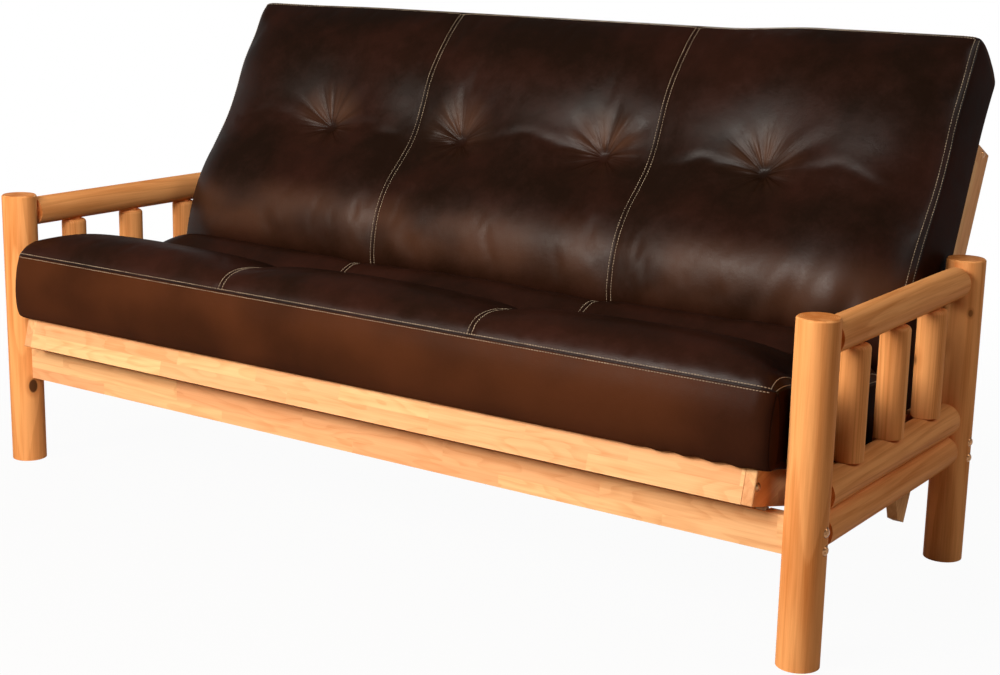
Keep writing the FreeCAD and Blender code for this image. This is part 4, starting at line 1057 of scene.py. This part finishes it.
# Sizes in metres: the bead, where the long seams go into the tuck, and the plan's widest triangle
STITCH_RADIUS = 0.0008
STITCH_PROUD = 0.0005
SEAT_SEAM_END = 0.098
BACK_SEAM_START = 0.100
PLAN_TEAR = 0.04

# Shares of a stitch, and places of the rows beside the end and front seams in half row gaps
STITCH_TAPER = 0.45
STITCH_DIP = 0.9
END_ROWS = (1.5, 0.3)
FRONT_ROWS = (0.8, -0.8)


def stitch_shape(length, radius):
    """One stitch along X: a six-sided bead whose drawn-in ends dip into the leather."""
    bpy.ops.object.select_all(action="DESELECT")
    bpy.ops.mesh.primitive_cylinder_add(vertices=6, radius=radius, depth=length,
                                        end_fill_type="NGON", rotation=(0, QUARTER, 0))
    bead = bpy.context.object
    bpy.ops.object.transform_apply(location=True, rotation=True, scale=True)
    bpy.ops.object.mode_set(mode="EDIT")
    bpy.ops.mesh.select_all(action="SELECT")
    bpy.ops.mesh.bisect(plane_co=(0, 0, 0), plane_no=(1, 0, 0))
    mesh = bmesh.from_edit_mesh(bead.data)
    for vert in mesh.verts:
        share = abs(vert.co.x) / (length / 2)
        vert.co.y *= 1.0 - STITCH_TAPER * share
        vert.co.z = vert.co.z * (1.0 - STITCH_TAPER * share) - STITCH_DIP * radius * share ** 2
    bmesh.update_edit_mesh(bead.data)
    bpy.ops.object.mode_set(mode="OBJECT")
    verts = np.array([v.co for v in bead.data.vertices])
    faces = [list(p.vertices) for p in bead.data.polygons]
    bpy.data.objects.remove(bead)
    return verts, faces


def seam_rows(cover):
    """The rows of stitches, as lists of places on the cutting plan."""
    gap = cover.row_gap / 2
    half = cover.half_length
    pitch = cover.stitch_length + cover.stitch_gap
    shown = ((gap, SEAT_LENGTH - SEAT_SEAM_END),
             (SEAT_LENGTH + BACK_SEAM_START, PANEL_LENGTH - gap))
    across = np.arange(-(half - gap), half - gap, pitch)
    rows = []
    for side in (-1, 1):
        seams = (cover.seam_x - gap, cover.seam_x + gap, *(half - row * gap for row in END_ROWS))
        for x in seams:
            for low, high in shown:
                rows.append([(side * x, run) for run in np.arange(low, high, pitch)])
    for run in (*(row * gap for row in FRONT_ROWS), PANEL_LENGTH - gap, PANEL_LENGTH + gap):
        rows.append([(x, run) for x in across])
    return rows


class FUTON_OT_sew_threads(bpy.types.Operator):
    """Lays the double rows of pale top stitching on the finished mattress"""

    bl_idname = "futon.sew_threads"
    bl_label = "Top stitching"

    def execute(self, context):
        cover = context.scene.futon_leather
        mesh = bpy.data.objects["leather_mattress"].data
        (x, run), spots, outs = plan_of(mesh)
        mesh.calc_loop_triangles()
        corners = np.zeros(len(mesh.loop_triangles) * 3, np.int32)
        mesh.loop_triangles.foreach_get("vertices", corners)
        corners = corners.reshape(-1, 3)
        runs = run[corners]
        corners = corners[(runs > UNDERSIDE).all(axis=1) & (np.ptp(runs, axis=1) < PLAN_TEAR)]
        flat = np.column_stack([x, run, np.zeros(len(x))])
        tree = BVHTree.FromPolygons([tuple(p) for p in flat], corners.tolist(), all_triangles=True)
        shape, rings = stitch_shape(cover.stitch_length, STITCH_RADIUS)
        verts, faces = [], []
        for row in seam_rows(cover):
            places, normals = [], []
            for u, v in row:
                face = corners[tree.find_nearest(Vector((u, v, 0.0)))[2]]
                a, b, c = flat[face, :2]
                second, third = np.linalg.solve(np.column_stack([b - a, c - a]),
                                                np.array([u, v]) - a)
                share = np.array([1 - second - third, second, third])
                places.append(share @ spots[face])
                normals.append(share @ outs[face])
            places = np.array(places)
            for spot, out, way in zip(places, normals, np.gradient(places, axis=0)):
                out = out / np.linalg.norm(out)
                way = way - out * (way @ out)
                way = way / max(np.linalg.norm(way), 1e-9)
                turned = np.column_stack([way, np.cross(out, way), out])
                faces.extend([[len(verts) + k for k in ring] for ring in rings])
                verts.extend(shape @ turned.T + spot + out * STITCH_PROUD)
        piece = new_mesh_object("top_stitching", verts, faces)
        only_active(piece)
        bpy.ops.object.shade_smooth()
        piece.data.materials.append(thread_finish(cover))
        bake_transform(piece, "seat_deck", "back_deck", start=fold_side(-10), end=fold_side(10))
        return {"FINISHED"}


# Frame finishes

SIDES = ("left", "right")
POST_X = 0.995
POST_Y = 0.3445
ARM_MID_Y = -0.077
ARM_HEIGHTS = {"top": 0.583, "middle": 0.304, "lower": 0.2378}
POST_KNOTS = (((1.022, 0.240, 0.522), (0.0055, 0.0055, 0.008), 0.6),
              ((-0.958, -0.434, 0.181), (0.012, 0.012, 0.0185), 1.0))

# Length and height of the blocks that each kind of board is glued up from, in metres
RAIL_BLOCK = (0.36, 0.052)
SIDE_BLOCK = (0.30, 0.052)
SLAT_BLOCK = (0.9, 0.15)
TRACK_BLOCK = (0.6, 0.2)
RAW_SLAT = {"rough": (0.50, 0.64), "coat": 0.0, "fade": 0.45}


def sided(*stems):
    """The names of the left and right pieces of each kind."""
    return [stem + "_" + side for side in SIDES for stem in stems]


class FUTON_OT_finish_logs(bpy.types.Operator):
    """Gives the posts, arm logs and spindles their peeled pine finish"""

    bl_idname = "futon.finish_logs"
    bl_label = "Logs"

    def execute(self, context):
        wood = context.scene.futon_wood
        upright, level = (0, 0, 0), (QUARTER, 0, 0)
        middle, arm = (0.0, ARM_MID_Y, 0.0), (POST_X, 0.0, 0.0)
        posts = log_finish("post_pine", wood, upright, middle, (POST_X, POST_Y, 0.0), POST_KNOTS)
        dress(posts, sided("post_front", "post_rear"))
        for log, height in ARM_HEIGHTS.items():
            centre = (0.0, ARM_MID_Y, height)
            dress(log_finish("arm_%s_pine" % log, wood, level, centre, arm),
                  sided("arm_%s_log" % log))
        dress(log_finish("spindle_pine", wood, upright, middle, arm),
              sided("arm_spindle_front", "arm_spindle_centre", "arm_spindle_rear"))
        return {"FINISHED"}


class FUTON_OT_finish_boards(bpy.types.Operator):
    """Gives the stretchers, deck rails, slats and tracks their board finishes"""

    bl_idname = "futon.finish_boards"
    bl_label = "Boards"

    def execute(self, context):
        wood = context.scene.futon_wood
        seat, back, level = ((-slope, 0, QUARTER) for slope in (SEAT_TILT, BACK_RISE, 0))
        rails = ["stretcher_front", "stretcher_rear", "seat_front_rail", "seat_rear_rail",
                 "back_top_rail", "back_lower_rail"]
        boards = (("glued_board", (0, 0, 0), RAIL_BLOCK, {}, rails),
                  ("seat_side_board", seat, SIDE_BLOCK, {}, sided("seat_side_rail")),
                  ("back_side_board", back, SIDE_BLOCK, {}, sided("back_side_rail")),
                  ("seat_slat_board", seat, SLAT_BLOCK, RAW_SLAT, ["seat_slats"]),
                  ("back_slat_board", back, SLAT_BLOCK, RAW_SLAT, ["back_slats"]),
                  ("track_board", level, TRACK_BLOCK, {}, sided("deck_track")))
        for name, turn, block, looks, nodes in boards:
            dress(board_finish(name, wood, turn, *block, **looks), nodes)
        return {"FINISHED"}


class FUTON_OT_finish_hardware(bpy.types.Operator):
    """Gives the bolts, pins, rollers and stop plates their metal and nylon"""

    bl_idname = "futon.finish_hardware"
    bl_label = "Hardware"

    def execute(self, context):
        dress(bronze_finish(), ["stretcher_bolts", "seat_corner_bolts", "back_corner_bolts"])
        dress(steel_finish(), ["stretcher_barrel_nuts", "seat_roller_axles", "deck_track_screws",
                               *sided("pivot_bolt", "pivot_washer", "pivot_nut", "track_pin")])
        dress(nylon_finish(), ["back_stop_plates", *sided("seat_roller", "track_sleeve")])
        return {"FINISHED"}


# Stage

CAMERA_PLACE = (2.192, -3.114, 1.264)
CAMERA_BACK = (0.5498, -0.8030, 0.2302)
CAMERA_RIGHT = (0.8251, 0.5650, 0.0)
CAMERA_ROLL = math.radians(1.19)
SENSOR_WIDTH = 36.0
FLOOR_SIZE = 30.0
FLOOR_PAINT = (0.36, 0.30, 0.24, 1.0)
FLOOR_FADE = (0.9, 3.0, 0.96, 1.0)      # metres from the middle, and how white it shows there
ROOM_TINT = (1.0, 0.93, 0.85, 1.0)
ROOM_WALLS = (0.10, 0.45, 1.0, 0.15)    # slope of the view, and how white a mirror shows it
LAMP_AIM = (0.0, 0.0, 0.45)
WARM = (1.0, 0.965, 0.92)
WARMER = (1.0, 0.93, 0.84)
LAMPS = (("front_lamp", "front_power", (0.2, -2.3, 1.7), 1.0, WARM),
         ("left_softbox", "left_power", (-1.6, -4.05, 2.37), 1.3, WARMER),
         ("side_lamp", "side_power", (3.66, 0.65, 2.90), 1.5, WARM),
         ("back_lamp", "back_power", (-1.8, 4.0, 2.2), 1.5, WARM))


def camera_white(nodes, target, lit, strength=1.0, mirrored=1.0):
    """Shows white to the camera and to mirrors, and the lit shader to everything else."""
    path = nodes.add("ShaderNodeLightPath").outputs
    seen = nodes.largest(path["Is Camera Ray"], *(
        nodes.product(path[ray], mirrored) for ray in ("Is Glossy Ray", "Is Transmission Ray")))
    kind = "Emission" if target.node.type == "OUTPUT_MATERIAL" else "Background"
    white = nodes.add("ShaderNode" + kind, {"Color": WHITE, "Strength": 1.0})
    mix = nodes.add("ShaderNodeMixShader", {
        0: nodes.product(seen, strength), 1: lit, 2: white.outputs[0]})
    nodes.feed(target, mix.outputs[0])


def place_camera(scene, lens):
    """Stands the camera where the photograph was taken from."""
    camera = bpy.data.objects.new("futon_camera", bpy.data.cameras.new("futon_camera"))
    camera.data.lens = lens
    camera.data.sensor_width = SENSOR_WIDTH
    scene.collection.objects.link(camera)
    back = Vector(CAMERA_BACK).normalized()
    right = Vector(CAMERA_RIGHT).normalized()
    up = back.cross(right)
    across = right * math.cos(CAMERA_ROLL) + up * math.sin(CAMERA_ROLL)
    upright = up * math.cos(CAMERA_ROLL) - right * math.sin(CAMERA_ROLL)
    turn = Matrix((across, upright, back)).transposed().to_4x4()
    camera.matrix_world = Matrix.Translation(CAMERA_PLACE) @ turn
    scene.camera = camera


def lay_floor():
    """A wide pale floor that shows white and keeps the object's shadow."""
    bpy.ops.object.select_all(action="DESELECT")
    bpy.ops.mesh.primitive_plane_add(size=FLOOR_SIZE, location=(0.0, 0.0, 0.0))
    floor = bpy.context.object
    floor.name = "pale_floor"
    bpy.ops.object.transform_apply(location=True, rotation=True, scale=True)
    paint = Finish("pale_floor_paint")
    fade = paint.span(paint.vector("LENGTH", paint.place), *FLOOR_FADE)
    camera_white(paint, paint.tree.nodes["Material Output"].inputs["Surface"],
                 paint.shader.outputs[0], strength=fade)
    floor.data.materials.append(paint.surface(
        Base_Color=FLOOR_PAINT, Roughness=0.9, Specular_IOR_Level=0.1))


def light_room(scene, strength):
    """Even light from all round, white to the camera, with a darker ceiling in mirrors."""
    world = bpy.data.worlds.new("studio_room")
    world.use_nodes = True
    scene.world = world
    nodes = Nodes(world.node_tree)
    room = nodes.tree.nodes["Background"]
    nodes.feed(room.inputs["Color"], ROOM_TINT)
    nodes.feed(room.inputs["Strength"], strength)
    height = nodes.parts(nodes.add("ShaderNodeTexCoord").outputs["Generated"])["Z"]
    camera_white(nodes, nodes.tree.nodes["World Output"].inputs["Surface"], room.outputs[0],
                 mirrored=nodes.span(height, *ROOM_WALLS))


def hang_lamp(scene, name, place, size, power, colour):
    """One square soft lamp, turned to the middle of the futon."""
    light = bpy.data.lights.new(name, "AREA")
    light.size = size
    light.energy = power
    light.color = colour
    lamp = bpy.data.objects.new(name, light)
    scene.collection.objects.link(lamp)
    aim = Vector(LAMP_AIM) - Vector(place)
    turn = aim.to_track_quat("-Z", "Y").to_matrix().to_4x4()
    lamp.matrix_world = Matrix.Translation(place) @ turn


class FUTON_OT_set_stage(bpy.types.Operator):
    """Sets the camera, the pale floor, the room light and the four soft lamps"""

    bl_idname = "futon.set_stage"
    bl_label = "Stage"

    def execute(self, context):
        scene, stage = context.scene, context.scene.futon_stage
        place_camera(scene, stage.lens)
        lay_floor()
        light_room(scene, stage.sky)
        for name, power, place, size, colour in LAMPS:
            hang_lamp(scene, name, place, size, getattr(stage, power), colour)
        scene.view_settings.view_transform = "Standard"
        return {"FINISHED"}


# Add-on

OPERATORS = (FUTON_OT_set_stage, FUTON_OT_finish_logs, FUTON_OT_finish_boards,
             FUTON_OT_finish_hardware, FUTON_OT_sew_mattress, FUTON_OT_sew_threads)
GROUPS = (("futon_wood", FutonWood), ("futon_leather", FutonLeather), ("futon_stage", FutonStage))


class FUTON_PT_panel(bpy.types.Panel):
    """Lists the futon's finishes and the buttons that make its pieces"""

    bl_idname = "FUTON_PT_panel"
    bl_label = "Log futon"
    bl_space_type = "VIEW_3D"
    bl_region_type = "UI"
    bl_category = "Futon"

    def draw(self, context):
        for name, group in GROUPS:
            box = self.layout.box()
            for prop in group.__annotations__:
                box.prop(getattr(context.scene, name), prop)
        for operator in OPERATORS:
            self.layout.operator(operator.bl_idname)


def register():
    for name, group in GROUPS:
        bpy.utils.register_class(group)
        setattr(bpy.types.Scene, name, bpy.props.PointerProperty(type=group))
    for cls in (*OPERATORS, FUTON_PT_panel):
        bpy.utils.register_class(cls)


def unregister():
    for cls in (FUTON_PT_panel, *reversed(OPERATORS)):
        bpy.utils.unregister_class(cls)
    for name, group in reversed(GROUPS):
        delattr(bpy.types.Scene, name)
        bpy.utils.unregister_class(group)


def main():
    register()
    bpy.ops.futon.set_stage()
    bpy.ops.futon.finish_logs()
    bpy.ops.futon.finish_boards()
    bpy.ops.futon.finish_hardware()
    bpy.ops.futon.sew_mattress()
    bpy.ops.futon.sew_threads()


if __name__ == "__main__":
    main()
